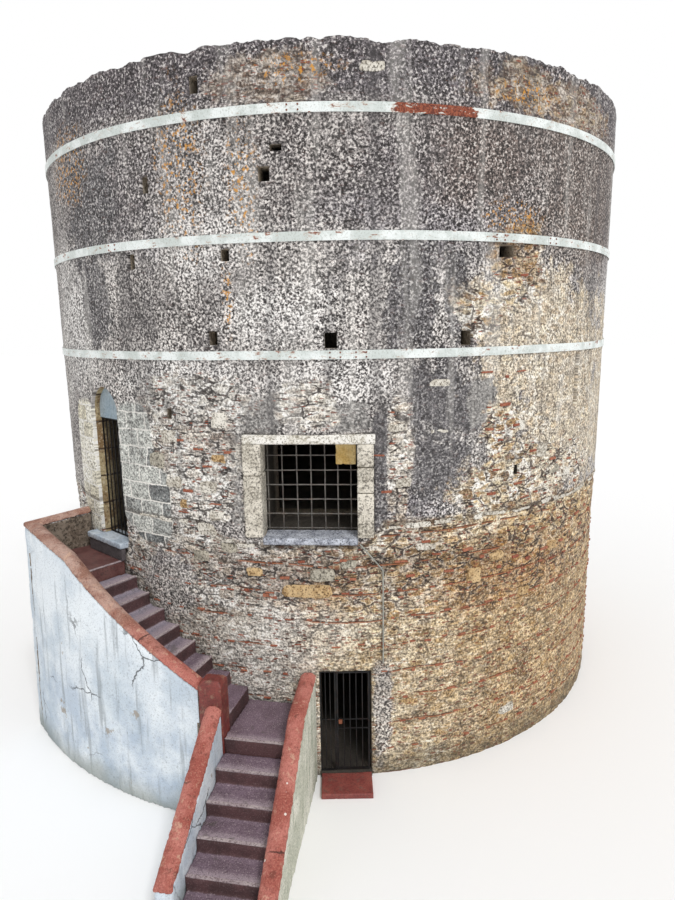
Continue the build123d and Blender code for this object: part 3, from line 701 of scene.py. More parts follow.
    def _growth(self, web: Surface, wall: WallMap, colour: Wire) -> Wire:
        """Lichen, dark runs, the damp foot and a painted shadow line along the set-off."""
        drawn = web.scale(wall.place, (2.6, 2.6, 0.22))
        runs = web.noise(drawn, 1.0, 4.0, 0.6)
        high = wall.height.smooth(4.2, 5.4)
        colour = web.over(colour, runs.smooth(0.53, 0.66) * high * 0.45, "4a4748")
        colour = web.over(colour, runs.smooth(0.46, 0.36) * high * 0.22, "d8d4ce")
        blot = web.noise(wall.place, 17.0, 3.0, 0.7).smooth(0.56, 0.60)
        lichen = blot * wall.zones(LICHEN, 0.5)
        colour = web.over(colour, lichen * 0.85, "cf9238")
        # painted shadow: a dark line along the set-off between the two kinds of wall
        ledge_shadow = abs(wall.above).smooth(0.05, 0.02) * wall.zones((Zone(0.0, 3.9, 70.0, 0.6),), 0.1)
        colour = web.over(colour, ledge_shadow * 0.5, "40342a")
        foot = (wall.height + wall.wobble * 0.5).smooth(0.55, 0.05) * 0.55
        return web.over(colour, foot, "4a4638")


@dataclass(frozen=True)
class Reveal:
    """Dressed and rough stone inside the openings, yellower round the upper doorway, with painted shade deep
    inside the openings.
    """

    name: str = "reveal masonry"

    def make(self) -> Material:
        """Build the material."""
        web = Surface(self.name)
        wall = WallMap(web, web.place)
        grain = web.noise(web.place, 24.0, 3.0, 0.7)
        broad = web.noise(web.place, 2.4, 4.0, 0.6)
        colour = web.tones(broad.smooth(0.4, 0.6), "8c8072", "b8ab98")
        door = wall.zones((Zone(UPPER_DOOR_AZ, 4.6, 9.0, 1.5),), 0.1, 0.3, True)
        # the doorway's dark yellow: ochre stone, partly darkened as painted shade of the deep doorway
        yellow = web.tones(broad.smooth(0.42, 0.58), "8a6f4c", "b8a680")
        joint = abs(wall.height.maths("FRACT", (wall.height + wall.wobble * 0.1) / 0.46) - 0.5)
        yellow = web.over(yellow, joint.smooth(0.05, 0.02), "4b3a2a")
        colour = web.mix(door, colour, yellow)
        colour = web.over(colour, grain.smooth(*PITS) * 0.6, "40362c")
        colour = web.over(colour, grain.smooth(0.56, 0.64) * 0.5, "e4dcca")
        # painted shade: near-black on the reveals deep inside the openings and in the small hole, half as
        # dark in the slot
        east = web.split(web.place)
        radius = (east * east + east.out(1) * east.out(1)).root()
        deep = radius.smooth(5.24, 5.02) * radius.smooth(4.1, 4.4)
        hole_shade = wall.zones((Zone(*SMALL_HOLE, 2.0, 0.25),), 0.1, 0.0, True)
        slot = wall.zones((Zone(*SLOT, 2.0, 0.6),), 0.1, 0.0, True) * 0.5
        colour = web.over(colour, deep.most(hole_shade).most(slot) * 0.88, "191512")
        height = grain * 0.5 + broad * 0.8
        return web.close(Base_Color=colour, Roughness=0.9, Normal=web.bump(height, 0.02))


@dataclass(frozen=True)
class StepCement:
    """Speckled cement of the steps: purple-brown treads and darker risers, with painted light on the higher
    treads and on the front of each tread.
    """

    name: str = "tread cement"
    tread: str = "685560"
    riser: str = "40292a"

    def make(self) -> Material:
        """Build the material."""
        web = Surface(self.name)
        facing = web.node("ShaderNodeTexCoord", {}, {}, out="Normal")
        up = web.split(facing).out(2)
        front = web.node("ShaderNodeAttribute", {"attribute_name": "front"}, {}, out="Fac")
        broad = web.noise(web.place, 2.3, 4.0, 0.6)
        grain = web.noise(web.place, 62.0, 3.0, 0.7)
        flat = up.smooth(0.45, 0.75)
        tread = web.tones(broad.smooth(*MOTTLE), self.tread, "776370")
        edge = web.noise(web.place, 9.0, 3.0, 0.6, at=(5.0, 5.0, 5.0)) * 0.5 - 0.25
        place = web.split(web.place)
        # painted light: the higher treads are paler as if sunlit; each tread is paler at its front, partly
        # wear and partly painted light, and darker at its back as painted shade
        sunny = place.out(2).smooth(1.7, 2.4)
        tread = web.over(tread, sunny * 0.7, "9b96a3")
        tread = web.over(tread, (front + edge + sunny * 0.2).smooth(0.25, 0.75) * 0.8, "a3939a")
        riser = web.tones(broad.smooth(*MOTTLE), self.riser, "57393a")
        colour = web.mix(flat, riser, tread)
        colour = web.over(colour, grain.smooth(*PITS) * 0.55, "2c2021")
        colour = web.over(colour, grain.smooth(0.56, 0.64) * (0.15 + flat * 0.45), "b9a9aa")
        moss = web.noise(web.place, 3.1, 4.0, 0.65, at=(4.0, 1.0, 3.0)).smooth(0.60, 0.68)
        colour = web.over(colour, moss * 0.45 * flat, "3c3d2a")
        height = grain * 0.7 + broad
        return web.close(Base_Color=colour, Roughness=0.55 + grain * 0.35, Normal=web.bump(height, 0.008))


@dataclass(frozen=True)
class Limewash:
    """Limewashed render: white, with bluish patches low down that are partly painted shade, grey runs and
    cracks.
    """

    name: str = "limewash"

    def make(self) -> Material:
        """Build the material."""
        web = Surface(self.name)
        wall = WallMap(web, web.place)
        broad = web.noise(web.place, 0.9, 5.0, 0.6)
        grain = web.noise(web.place, 26.0, 3.0, 0.7)
        colour = web.tones(broad.smooth(0.36, 0.60), "c8d3dc", "ebf1f5")
        # bluish tint, stronger low down: partly the wash's own tone, partly painted shade
        blue = web.noise(web.place, 1.3, 4.0, 0.6, at=(7.0, 3.0, 1.0))
        low = (wall.height + wall.wobble * 1.2).smooth(2.3, 1.0)
        colour = web.over(colour, blue.smooth(0.36, 0.66) * (0.15 + low * 0.5), "9fb1c6")
        drawn = web.noise(web.scale(web.place, (8.0, 8.0, 0.6)), 1.0, 3.0, 0.6)
        colour = web.over(colour, drawn.smooth(0.54, 0.72) * 0.6, "868c90")
        fine = web.noise(web.place, 44.0, 2.0, 0.7)
        colour = web.over(colour, fine.smooth(*PITS) * 0.22, "6d7276")
        crack = web.cracks((3.0, 4.0, 0.3), 1.1, (0.8, 0.48, 0.56), (0.014, 0.005))
        colour = web.over(colour, crack * 0.85, "4d4f52")
        foot = (wall.height + wall.wobble * 0.6).smooth(0.5, 0.0) * 0.6
        colour = web.over(colour, foot, "6c7060")
        colour = web.over(colour, grain.smooth(0.42, 0.34) * 0.35, "70777c")
        bare = web.noise(web.place, 2.2, 5.0, 0.65, at=(1.0, 4.0, 8.0)).smooth(0.66, 0.70)
        colour = web.over(colour, bare * 0.8, "9b8f80")
        height = grain * 0.4 + broad - crack * 0.5
        return web.close(Base_Color=colour, Roughness=0.85, Normal=web.bump(height, 0.012))


@dataclass(frozen=True)
class Coping:
    """Red coping render: orange-brown high up, redder low down, with cracks and lime spots."""

    name: str = "coping terracotta"

    def make(self) -> Material:
        """Build the material."""
        web = Surface(self.name)
        wall = WallMap(web, web.place)
        fine = web.noise(web.place, 50.0, 3.0, 0.7)
        broad = web.noise(web.place, 2.6, 5.0, 0.65)
        red = web.tones(broad.smooth(*MOTTLE), "974e43", "b56f64")
        brown = web.tones(broad.smooth(*MOTTLE), "8e6859", "b5988b")
        colour = web.mix((wall.height + wall.wobble * 1.5).smooth(2.2, 3.0), red, brown)
        worn = web.noise(web.place, 7.0, 5.0, 0.7, at=(3.0, 8.0, 1.0))
        colour = web.over(colour, worn.smooth(0.56, 0.66) * 0.6, "c9a78f")
        colour = web.over(colour, worn.smooth(0.44, 0.34) * 0.6, "5d3026")
        colour = web.over(colour, fine.smooth(*PITS) * 0.45, "5d2e22")
        colour = web.over(colour, fine.smooth(0.55, 0.63) * 0.35, "d09a84")
        spot = web.cells(web.scale(web.place, (9.0, 9.0, 9.0)))
        chosen = web.split(spot.out("Color"))
        lime = chosen.smooth(0.88, 0.90) * spot.smooth(0.17, 0.11)
        colour = web.over(colour, lime * 0.8, "e9e2d8")
        crack = web.cracks((4.0, 3.0, 0.2), 0.8, (1.1, 0.50, 0.58), (0.011, 0.004))
        colour = web.over(colour, crack * 0.8, "3a211b")
        height = fine * 0.3 + worn * 0.8 - crack * 0.5
        return web.close(Base_Color=colour, Roughness=0.78 + fine * 0.15, Normal=web.bump(height, 0.010))


@dataclass(frozen=True)
class HoopPaint:
    """White paint on steel, with rust spots and one stretch where the paint has gone."""

    name: str = "hoop paint"
    middle: float = 14.8
    half: float = 6.0

    def make(self) -> Material:
        """Build the material."""
        web = Surface(self.name)
        wall = WallMap(web, web.place)
        broad = web.noise(web.place, 3.0, 4.0, 0.6)
        fine = web.noise(web.place, 42.0, 3.0, 0.7)
        colour = web.tones(broad.smooth(*MOTTLE), "c9d0cc", "e9eeec")
        colour = web.over(colour, fine.smooth(*PITS) * 0.4, "8b8c82")
        bare = abs(wall.azimuth - self.middle).smooth(self.half + 1.2, self.half - 1.2)
        bare = bare * wall.height.smooth(HOOP_CENTRES[2] - 0.12, HOOP_CENTRES[2] - 0.09)
        flake = web.noise(web.scale(web.place, (1.0, 1.0, 2.5)), 5.5, 4.0, 0.7) + bare * 0.24
        rust = web.tones(fine.smooth(0.40, 0.60), "5f2c20", "97533a")
        gone = flake.smooth(0.63, 0.67)
        colour = web.over(colour, flake.smooth(0.56, 0.66) * 0.5, "b08a6c")
        colour = web.mix(gone, colour, rust)
        rough = 0.5 + gone * 0.35
        return web.close(Base_Color=colour, Roughness=rough, Normal=web.bump(flake, 0.004))


class Finishes:
    """Every finish of the tower, built once and found by name."""

    PLAIN = (
        Weathered("worn paving", "77706a", "938b82", "4a4540", "5d5a4c", 1.2, 40, 0.5, 0.4),
        Weathered("dark earth", "3a3530", "4b443c", "241f1b", "2e2a25", 1.2, 40, 0.5, 0.4),
        Weathered("vault plaster", "b9b2a6", "cfc9bd", "8e867a", "938b78", 0.9, 30, 0.3, 0.3),
        Weathered("dressed limestone", "ccc6b8", "efece5", "6f6655", "a39a88", 3.0, 34, 0.75, 0.4),
        Weathered("worn limestone", "b1aa9c", "dfd8ca", "55504a", "8a8172", 3.0, 32, 0.8, 0.5),
        Weathered("yellow corner stone", "cdaa62", "dcc48c", "8a6a38", "a9834a", 5.0, 45, 0.4, 0.4),
        # the sill's dark bluish tones: partly cement colour, partly painted shade
        Weathered("rough cement sill", "8a8e99", "c3c7d0", "4a4b53", "6f6e72", 5.0, 36, 0.8, 0.5),
        Weathered("gate iron", "1b1b1d", "2c2b2c", "0d0d0e", "4a2c1c", 4.0, 70, 0.5, 0.35,
                  rough=(0.45, 0.7), metal=0.6),
        Weathered("red cement", "7d3a35", "8f4b42", "4a2320", "6b5a50", 4.0, 40, 0.5, 0.5,
                  rough=(0.5, 0.75)),
        Weathered("step marble", "a9b6c4", "c6ced6", "6c7682", "8b8f92", 3.0, 25, 0.4, 0.4,
                  rough=(0.5, 0.8)),
        Weathered("dark riser stone", "4a4446", "5d5658", "2b2829", "39352f", 4.0, 40, 0.5, 0.4),
        Weathered("blue plaster", "8fa1ad", "a9b7bf", "64717a", "7f8784", 2.5, 30, 0.4, 0.4),
        Weathered("worn nosing", "9d8d90", "b7a9a9", "5a4a4d", "6f5c5e", 4.0, 40, 0.7, 0.4),
        Weathered("red tiles", "5a3431", "6f4a45", "36201e", "554540", 4.0, 45, 0.5, 0.5,
                  rough=(0.5, 0.8)),
        Weathered("brick shard", "8f4d38", "a86a50", "4a2a20", "7c5a46", 3.0, 40, 0.55, 0.4),
        Weathered("ochre stone", "a8875a", "cdb084", "5a4024", "8f8068", 4.0, 32, 0.85, 0.5, pits=0.014),
        Weathered("grey stone", "8f897c", "bdb6a6", "4c463c", "7d7563", 4.0, 32, 0.85, 0.5, pits=0.014),
        Weathered("flat stone", "b5ad9f", "e2ddd2", "554d42", "8d8373", 3.0, 32, 0.85, 0.5, pits=0.014),
        Weathered("rim stone", "817a78", "a49c98", "3c3632", "5e5042", 2.2, 22, 0.8, 0.5, pits=0.010),
        Weathered("grille iron", "55524f", "77736d", "2a2726", "6a4632", 6.0, 60, 0.5, 0.4,
                  rough=(0.5, 0.8), metal=0.3),
        Weathered("rust", "6e3a26", "8d5236", "3c2018", "a0583a", 5.0, 50, 0.6, 0.5, rough=(0.7, 0.9)),
        Weathered("dark rough stone", "6a5d50", "8d8072", "332b24", "4a443a", 3.0, 20, 0.8, 0.5,
                  pits=0.012),
        Weathered("streaked cement", "bdbeae", "dedccf", "6a6e5f", "7d866c", 1.6, 40, 0.5, 0.4,
                  runs=0.75),
        # the pier's dark red: partly paint colour, partly painted shade
        Weathered("chipped red", "662a25", "823a33", "431c18", "b5a184", 3.5, 45, 0.5, 0.3,
                  rough=(0.35, 0.65)),
        Weathered("grey conduit", "8f9088", "a6a79f", "606058", "75705f", 6.0, 60, 0.3, 0.4,
                  rough=(0.5, 0.7)),
    )

    def __init__(self) -> None:
        """Build the plain finishes and the masonry."""
        self.made = {finish.name: finish.make() for finish in self.PLAIN}
        for finish in (Reveal(), StepCement(), Limewash(), HoopPaint(), Coping()):
            self.made[finish.name] = finish.make()
        self.made["masonry"] = Masonry().make()

    def __getitem__(self, name: str) -> Material:
        """A finish by its name."""
        return self.made[name]


NODE_FINISHES = {
    "ground_floor": "dark earth", "first_floor": "worn paving", "terrace_floor": "worn paving",
    "vault": "vault plaster", "steel_hoops": "hoop paint", "gate_side_panel": "gate iron",
    "gate_leaf": "gate iron", "gate_hinges": "gate iron", "upper_gate": "gate iron",
    "lunette_panel": "blue plaster", "conduit": "grey conduit",
}


def stand(name: str, data: bpy.types.ID) -> bpy.types.Object:
    """Put an object of this data in the scene."""
    made = bpy.data.objects.new(name, data)
    bpy.context.scene.collection.objects.link(made)
    return made


def settled(holder: bpy.types.Object, modifier: bpy.types.Modifier) -> Mesh:
    """The mesh that a modifier makes; the modifier and its object are removed."""
    graph = bpy.context.evaluated_depsgraph_get()
    graph.update()
    result = bpy.data.meshes.new_from_object(holder.evaluated_get(graph), depsgraph=graph)
    holder.modifiers.remove(modifier)
    bpy.data.objects.remove(holder)
    return result


def solid_of(name: str) -> bmesh.types.BMesh:
    """A CAD node's solids, with doubled corners merged."""
    shape = bmesh.new()
    shape.from_mesh(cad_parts[name].data)
    bmesh.ops.remove_doubles(shape, verts=shape.verts, dist=MERGE)
    return shape


def mesh_of(shape: bmesh.types.BMesh, name: str) -> Mesh:
    """A mesh of a shape, which is freed."""
    mesh = bpy.data.meshes.new(name)
    shape.to_mesh(mesh)
    shape.free()
    return mesh


def dress_node(name: str, material: Material) -> None:
    """Give a CAD node a material in its own slots."""
    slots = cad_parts[name].data.materials
    slots.clear()
    slots.append(material)


def add_piece(
    name: str, mesh: Mesh, body: Body, slot: str, replaces: Sequence[str] = ()
) -> bpy.types.Object:
    """Put a finished mesh in the scene as a piece.

    Args:
        name: The piece's name.
        mesh: Its mesh, in place and with its materials.
        body: What it rides on.
        slot: Not used.
        replaces: CAD nodes that it stands for.

    Returns:
        The piece's object.
    """
    mesh.name = name
    piece = stand(name, mesh)
    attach(piece, body.value)
    if replaces:
        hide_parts(*replaces)
    LOG.info("%s: %d faces on %s", name, len(mesh.polygons), body.value)
    return piece


def evaluate(mesh: Mesh, tree: Tree, values: Mapping[str, Any]) -> Mesh:
    """Run a mesh through a Geometry Nodes tree.

    Args:
        mesh: The mesh to start from.
        tree: The tree.
        values: The tree's inputs by name.

    Returns:
        The plain mesh that comes out.
    """
    holder = stand("holder", mesh)
    modifier = holder.modifiers.new("nodes", "NODES")
    modifier.node_group = tree
    for item in tree.interface.items_tree:
        if item.item_type == "SOCKET" and item.in_out == "INPUT" and item.name in values:
            modifier[item.identifier] = values[item.name]
    return settled(holder, modifier)


class Growth(Web):
    """A Geometry Nodes tree with named inputs, from Geometry to Geometry."""

    KINDS = {float: "NodeSocketFloat", int: "NodeSocketInt"}

    def __init__(self, name: str, inputs: Mapping[str, Any]) -> None:
        """Start a tree with these inputs by name, besides Geometry and Finish, at their default values."""
        super().__init__(bpy.data.node_groups.new(name, "GeometryNodeTree"))
        face = self.tree.interface
        face.new_socket("Geometry", in_out="OUTPUT", socket_type="NodeSocketGeometry")
        face.new_socket("Geometry", in_out="INPUT", socket_type="NodeSocketGeometry")
        face.new_socket("Finish", in_out="INPUT", socket_type="NodeSocketMaterial")
        for label, value in inputs.items():
            socket = face.new_socket(label, in_out="INPUT", socket_type=self.KINDS[type(value)])
            socket.default_value = value
        self.start = self.node("NodeGroupInput")

    def given(self, label: str) -> Wire:
        """The wire of a named input."""
        return self.start.out(label)

    def stored(self, name: str) -> Wire:
        """The wire of a vector kept in the mesh."""
        return self.node("GeometryNodeInputNamedAttribute", {"data_type": "FLOAT_VECTOR"}, {"Name": name})

    def here(self) -> Wire:
        """The wire of each point's place."""
        return self.node("GeometryNodeInputPosition")

    def spread(self, points: Wire, one: Wire, turn: Wire, size: Wire) -> Wire:
        """A copy of one thing on each point."""
        parts = {"Points": points, "Instance": one, "Rotation": turn, "Scale": size}
        return self.node("GeometryNodeInstanceOnPoints", {}, parts)

    def moved(self, geometry: Wire, offset: Wire) -> Wire:
        """Geometry with its points moved."""
        return self.node("GeometryNodeSetPosition", {}, {"Geometry": geometry, "Offset": offset})

    def finish(self, geometry: Wire) -> Tree:
        """End the tree in real, dressed geometry."""
        real = self.node("GeometryNodeRealizeInstances", {}, {0: geometry})
        sockets = {"Geometry": real, "Material": self.given("Finish")}
        dressed = self.node("GeometryNodeSetMaterial", {}, sockets)
        self.node("NodeGroupOutput", {}, {0: dressed})
        return self.tree


@dataclass(frozen=True)
class Opening:
    """A hole in the wall's skin, square to the wall at its azimuth."""

    azimuth: float
    left: float
    right: float
    low: float
    high: float
    lip: float = 0.12
    arched: bool = False

    def angle(self, across: float) -> float:
        """Azimuth in radians of a distance across the opening."""
        return math.radians(self.azimuth) + math.asin(across / TOWER_R)


HOLES = (
    (-19.1, 9.87, 0.150, 0.230), (-7.5, 9.04, 0.165, 0.090), (-9.3, 8.73, 0.160, 0.190),
    (-28.5, 8.73, 0.150, 0.230), (-32.3, 7.73, 0.150, 0.210), (-15.5, 7.74, 0.140, 0.160),
    (-18.0, 6.65, 0.150, 0.190), (-0.4, 6.60, 0.165, 0.210), (20.1, 6.60, 0.190, 0.200),
    (27.2, 7.78, 0.300, 0.170), (-26.8, 5.57, 0.120, 0.160), (*SMALL_HOLE, 0.115, 0.160),
    (*SLOT, 0.123, 0.880),
)


@dataclass
class Sheet:
    """Corners of a skin's cells by row and column, the cells kept, and each corner's opening."""

    angle: np.ndarray
    height: np.ndarray
    radius: np.ndarray
    lean: np.ndarray
    keep: np.ndarray
    owner: np.ndarray


@dataclass
class WallSkin:
    """The weathered outer face of one height of the wall, over its solid core."""

    NEAR = 0.002
    DROP = 0.2
    INSET = 0.06

    name: str
    low: float
    high: float
    openings: tuple[Opening, ...]
    nodes: tuple[str, ...]
    slot: str
    columns: int = 760
    cell: float = 0.045
    profile: tuple[Triple, ...] = ()

    def build(self, finishes: Finishes, tree: Tree) -> bpy.types.Object:
        """Make the skin and its core and put them in the scene as one piece."""
        skin = evaluate(self._sheet(), tree, {"Finish": finishes["masonry"], "Relief": 1.0, "Ragged": 0.09})
        shape = bmesh.new()
        shape.from_mesh(skin)
        for face in shape.faces:
            face.smooth = True
            face.material_index = 0
        self._add_core(shape)
        mesh = mesh_of(shape, self.name)
        bpy.data.meshes.remove(skin)
        for attribute in ("seat", "push"):
            if attribute in mesh.attributes:
                mesh.attributes.remove(mesh.attributes[attribute])
        mesh.materials.append(finishes["masonry"])
        mesh.materials.append(finishes["reveal masonry"])
        return add_piece(self.name, mesh, Body.TOWER, self.slot, self.nodes)

    def _add_core(self, shape: bmesh.types.BMesh) -> None:
        """Add the nodes' solids with their outer face set back behind the skin."""
        for name in self.nodes:
            solid = solid_of(name)
            for vert in solid.verts:
                radius = math.hypot(vert.co.x, vert.co.y)
                if radius > CORE_R:
                    vert.co.x *= CORE_R / radius
                    vert.co.y *= CORE_R / radius
                if self.profile and vert.co.z > RIM_TOP - self.NEAR:
                    vert.co.z = RIM_TOP - self.DROP
                if self.profile and radius < RIM_INNER_R + self.NEAR:
                    vert.co.x *= (RIM_INNER_R + self.INSET) / radius
                    vert.co.y *= (RIM_INNER_R + self.INSET) / radius
            for face in solid.faces:
                face.material_index = 1
                face.smooth = False
            mesh = mesh_of(solid, "solid")
            shape.from_mesh(mesh)
            bpy.data.meshes.remove(mesh)

    def _sheet(self) -> Mesh:
        """The skin before its relief: cells round the tower with the openings cut."""
        if self.profile:
            path = self._path()
        else:
            rows = round((self.high - self.low) / self.cell)
            path = [(TOWER_R, self.low + (self.high - self.low) * j / rows, 0.0) for j in range(rows + 1)]
        rows = len(path) - 1
        step = 2 * math.pi / self.columns
        radii, levels, leans = np.array(path).T
        wide = np.ones(self.columns)
        sheet = Sheet(
            np.tile(np.arange(self.columns) * step - math.pi, (rows + 1, 1)), np.outer(levels, wide),
            np.outer(radii, wide), np.outer(leans, wide), np.ones((rows, self.columns), bool),
            np.full((rows + 1, self.columns), -1),
        )
        outer = rows + 1
        if self.profile:
            outer = int(np.argmax(radii < TOWER_R - 0.001))
        for number, opening in enumerate(self.openings):
            start, end = opening.angle(opening.left), opening.angle(opening.right)
            left, right = (int(round((angle + math.pi) / step)) for angle in (start, end))
            low, high = (int(np.argmin(abs(levels[:outer] - z))) for z in (opening.low, opening.high))
            sheet.angle[low:high + 1, left] = start
            sheet.angle[low:high + 1, right] = end
            sheet.height[low, left:right + 1] = opening.low
            sheet.height[high, left:right + 1] = opening.high
            sheet.keep[low:high, left:right] = False
            sheet.owner[low:high + 1, left:right + 1] = number
            if opening.arched:
                self._arch(sheet, opening, number, high)
        return self._mesh(sheet)

    def _arch(self, sheet: Sheet, opening: Opening, number: int, spring: int) -> None:
        """Cut the half-round head of an opening above its spring."""
        angle, height = sheet.angle, sheet.height
        size = (opening.right - opening.left) / 2
        middle = math.radians(opening.azimuth)
        across = TOWER_R * np.sin(angle - middle)
        up = height - opening.high
        ahead = np.cos(angle - middle) > 0
        far = np.hypot(across, up)
        near = ahead & (up > self.cell * 0.3) & (abs(far - size) < self.cell * 0.62)
        shrink = size / np.where(far > 0, far, 1)
        angle[near] = (middle + np.arcsin(np.clip(across * shrink / TOWER_R, -1, 1)))[near]
        height[near] = (opening.high + up * shrink)[near]
        across = TOWER_R * np.sin(angle - middle)
        up = height - opening.high
        mid_across, mid_up = (
            (v[:-1] + v[1:] + np.roll(v[:-1], -1, 1) + np.roll(v[1:], -1, 1)) / 4 for v in (across, up)
        )
        inside = (np.hypot(mid_across, mid_up) < size) & (mid_up > 0) & ahead[:-1]
        sheet.keep[inside] = False
        rows = np.arange(angle.shape[0])[:, None] >= spring
        sheet.owner[rows & ahead & (np.hypot(across, up) < size + self.cell)] = number

    def _path(self) -> list[Triple]:
        """Radius, height and lean of each row of a skin that turns over the rim.

        Returns:
            One entry a row; lean is 0 where the relief pushes out, 1 where it pushes up
            and 2 where it pushes in.
        """
        path: list[Triple] = []
        for (r0, z0, way), (r1, z1, _) in zip(self.profile, self.profile[1:]):
            length = math.hypot(r1 - r0, z1 - z0)
            count = max(1, round(length / self.cell))
            path += [(r0 + (r1 - r0) * k / count, z0 + (z1 - z0) * k / count, way) for k in range(count)]
        path.append(self.profile[-1])
        return path

    def _mesh(self, sheet: Sheet) -> Mesh:
        """Faces of the kept cells, with a lip turned into each opening."""
        rows, columns = sheet.height.shape
        flat = np.stack([np.sin(sheet.angle), -np.cos(sheet.angle), np.zeros_like(sheet.angle)], -1)
        points = flat * sheet.radius[..., None]
        points[..., 2] = sheet.height
        push = np.where((sheet.lean == 1.0)[..., None], np.array([0.0, 0.0, 1.0]), flat)
        push = np.where((sheet.lean == 2.0)[..., None], -flat, push)
        index = np.arange(rows * columns).reshape(rows, columns)
        after = np.roll(index, -1, 1)
        quads = np.stack([index[:-1], after[:-1], after[1:], index[1:]], -1)[sheet.keep]
        owners = sheet.owner.reshape(-1)
        places = points.reshape(-1, 3)
        pushes = push.reshape(-1, 3)
        twins: dict[int, int] = {}
        more: dict[str, list[np.ndarray]] = {"place": [], "push": [], "seat": []}
        lips = []
        for a, b in self._open_edges(quads):
            if owners[a] < 0 or owners[b] < 0 or self._is_end((a, b), columns, rows):
                continue
            for corner in (a, b):
                if corner not in twins:
                    twins[corner] = rows * columns + len(twins)
                    more["place"].append(self._lip_point(places[corner], self.openings[owners[corner]]))
                    more["push"].append(pushes[corner])
                    more["seat"].append(places[corner])
            lips.append((b, a, twins[a], twins[b]))
        every = {
            label: np.concatenate([first, np.array(more[label]).reshape(-1, 3)])
            for label, first in (("place", places), ("push", pushes), ("seat", places))
        }
        faces = [tuple(int(v) for v in quad) for quad in quads] + lips
        used = np.unique(np.array([v for f in faces for v in f]))
        number = np.full(len(every["place"]), -1)
        number[used] = np.arange(len(used))
        mesh = bpy.data.meshes.new(self.name)
        mesh.from_pydata(every["place"][used].tolist(), [], [[int(number[v]) for v in f] for f in faces])
        for label in ("push", "seat"):
            attribute = mesh.attributes.new(label, "FLOAT_VECTOR", "POINT")
            attribute.data.foreach_set("vector", every[label][used].astype(np.float32).ravel())
        return mesh

    @staticmethod
    def _open_edges(quads: np.ndarray) -> Iterable[tuple[int, int]]:
        """Edges that one face alone uses, each in that face's direction."""
        single: dict[tuple[int, int], tuple[int, int]] = {}
        for quad in quads:
            for a, b in zip(quad, np.roll(quad, -1)):
                key = (int(min(a, b)), int(max(a, b)))
                if key in single:
                    del single[key]
                else:
                    single[key] = (int(a), int(b))
        return single.values()

    @staticmethod
    def _is_end(edge: tuple[int, int], columns: int, rows: int) -> bool:
        """Whether an edge lies on the sheet's lowest or highest row."""
        row = [corner // columns for corner in edge]
        return row[0] == row[1] and row[0] in (0, rows - 1)

    @staticmethod
    def _lip_point(point: np.ndarray, opening: Opening) -> np.ndarray:
        """Where the lip ends behind a point on an opening's edge."""
        inward = -np.array(around(1.0, opening.azimuth))
        side = np.array(around(1.0, opening.azimuth + 90.0))
        across = float(point @ side) - (opening.left + opening.right) / 2
        up = point[2] - (opening.low + opening.high) / 2
        away = side * across / (opening.right - opening.left)
        away = away + np.array([0.0, 0.0, up / (opening.high - opening.low)])
        behind = point + inward * opening.lip + away * 0.014
        behind[2] = max(behind[2], 0.0)
        return behind


@dataclass
class TowerWall:
    """The wall's three heights, which share one relief."""

    door: Opening = Opening(0.0, -0.297, 0.489, 0.0, 1.75)
    arch: Opening = Opening(UPPER_DOOR_AZ, -0.415, 0.415, STOREY_Z, 5.49, 0.16, True)
    surround: Opening = Opening(WINDOW_AZ, -0.937, 0.907, 3.83, 5.32, 0.1)
    sill: Opening = Opening(WINDOW_AZ, -0.675, 0.675, 3.73, 3.83, 0.1)

    def relief(self) -> Tree:
        """The tree that pushes a skin's points in or out by the wall's relief."""
        tree = Growth("wall relief", {"Relief": 1.0, "Ragged": 0.09})
        seat = tree.stored("seat")
        push = tree.stored("push")
        level = WallMap(tree, seat).relief() * tree.given("Relief")
        out = tree.grown(push, level)
        height = tree.split(seat).out(2)
        worn = tree.noise(tree.scale(seat, (1.0, 1.0, 0.0)), 2.3, 5.0, 0.65).smooth(0.36, 0.70)
        drop = worn * height.smooth(RIM_TOP - 0.35, RIM_TOP - 0.02) * tree.given("Ragged")
        offset = tree.shift(out, tree.vector(z=-drop))
        return tree.finish(tree.moved(tree.given("Geometry"), offset))

    def build(self, finishes: Finishes) -> None:
        """Make the lower storey, the upper storey and the rim."""
        tree = self.relief()
        holes = [Opening(az, -w / 2, w / 2, z - h / 2, z + h / 2, 0.1) for az, z, w, h in HOLES]
        names = sorted(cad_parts)
        lower = tuple(n for n in names if n.startswith("lower_wall")) + ("lower_door_head",)
        upper = tuple(n for n in names if n.startswith("upper_wall")) + ("upper_door_head",)
        WallSkin(
            "lower_masonry", 0.0, STOREY_Z, (self.door,), lower, "rubble_masonry", cell=0.048
        ).build(finishes, tree)
        high = tuple(h for h in holes if h.high < WALL_TOP)
        WallSkin(
            "upper_masonry", STOREY_Z, WALL_TOP, (self.surround, self.sill, self.arch) + high, upper,
            "render_masonry", cell=0.053,
        ).build(finishes, tree)
        inner, bevel = RIM_INNER_R, 0.03
        profile = (
            (TOWER_R, WALL_TOP, 0.0), (TOWER_R, RIM_TOP - bevel, 0.0), (TOWER_R - bevel, RIM_TOP, 1.0),
            (inner + bevel, RIM_TOP, 1.0), (inner, RIM_TOP - bevel, 2.0), (inner, TERRACE_Z, 2.0),
        )
        top = tuple(h for h in holes if h.low > WALL_TOP)
        WallSkin(
            "rim_masonry", WALL_TOP, RIM_TOP, top, ("rim_wall",), "rim_masonry", cell=0.05, profile=profile
        ).build(finishes, tree)


@dataclass(frozen=True)
class Spot:
    """Where a set piece sits: its middle, its turn in radians and its size."""

    place: Vector
    turn: Triple
    size: Triple


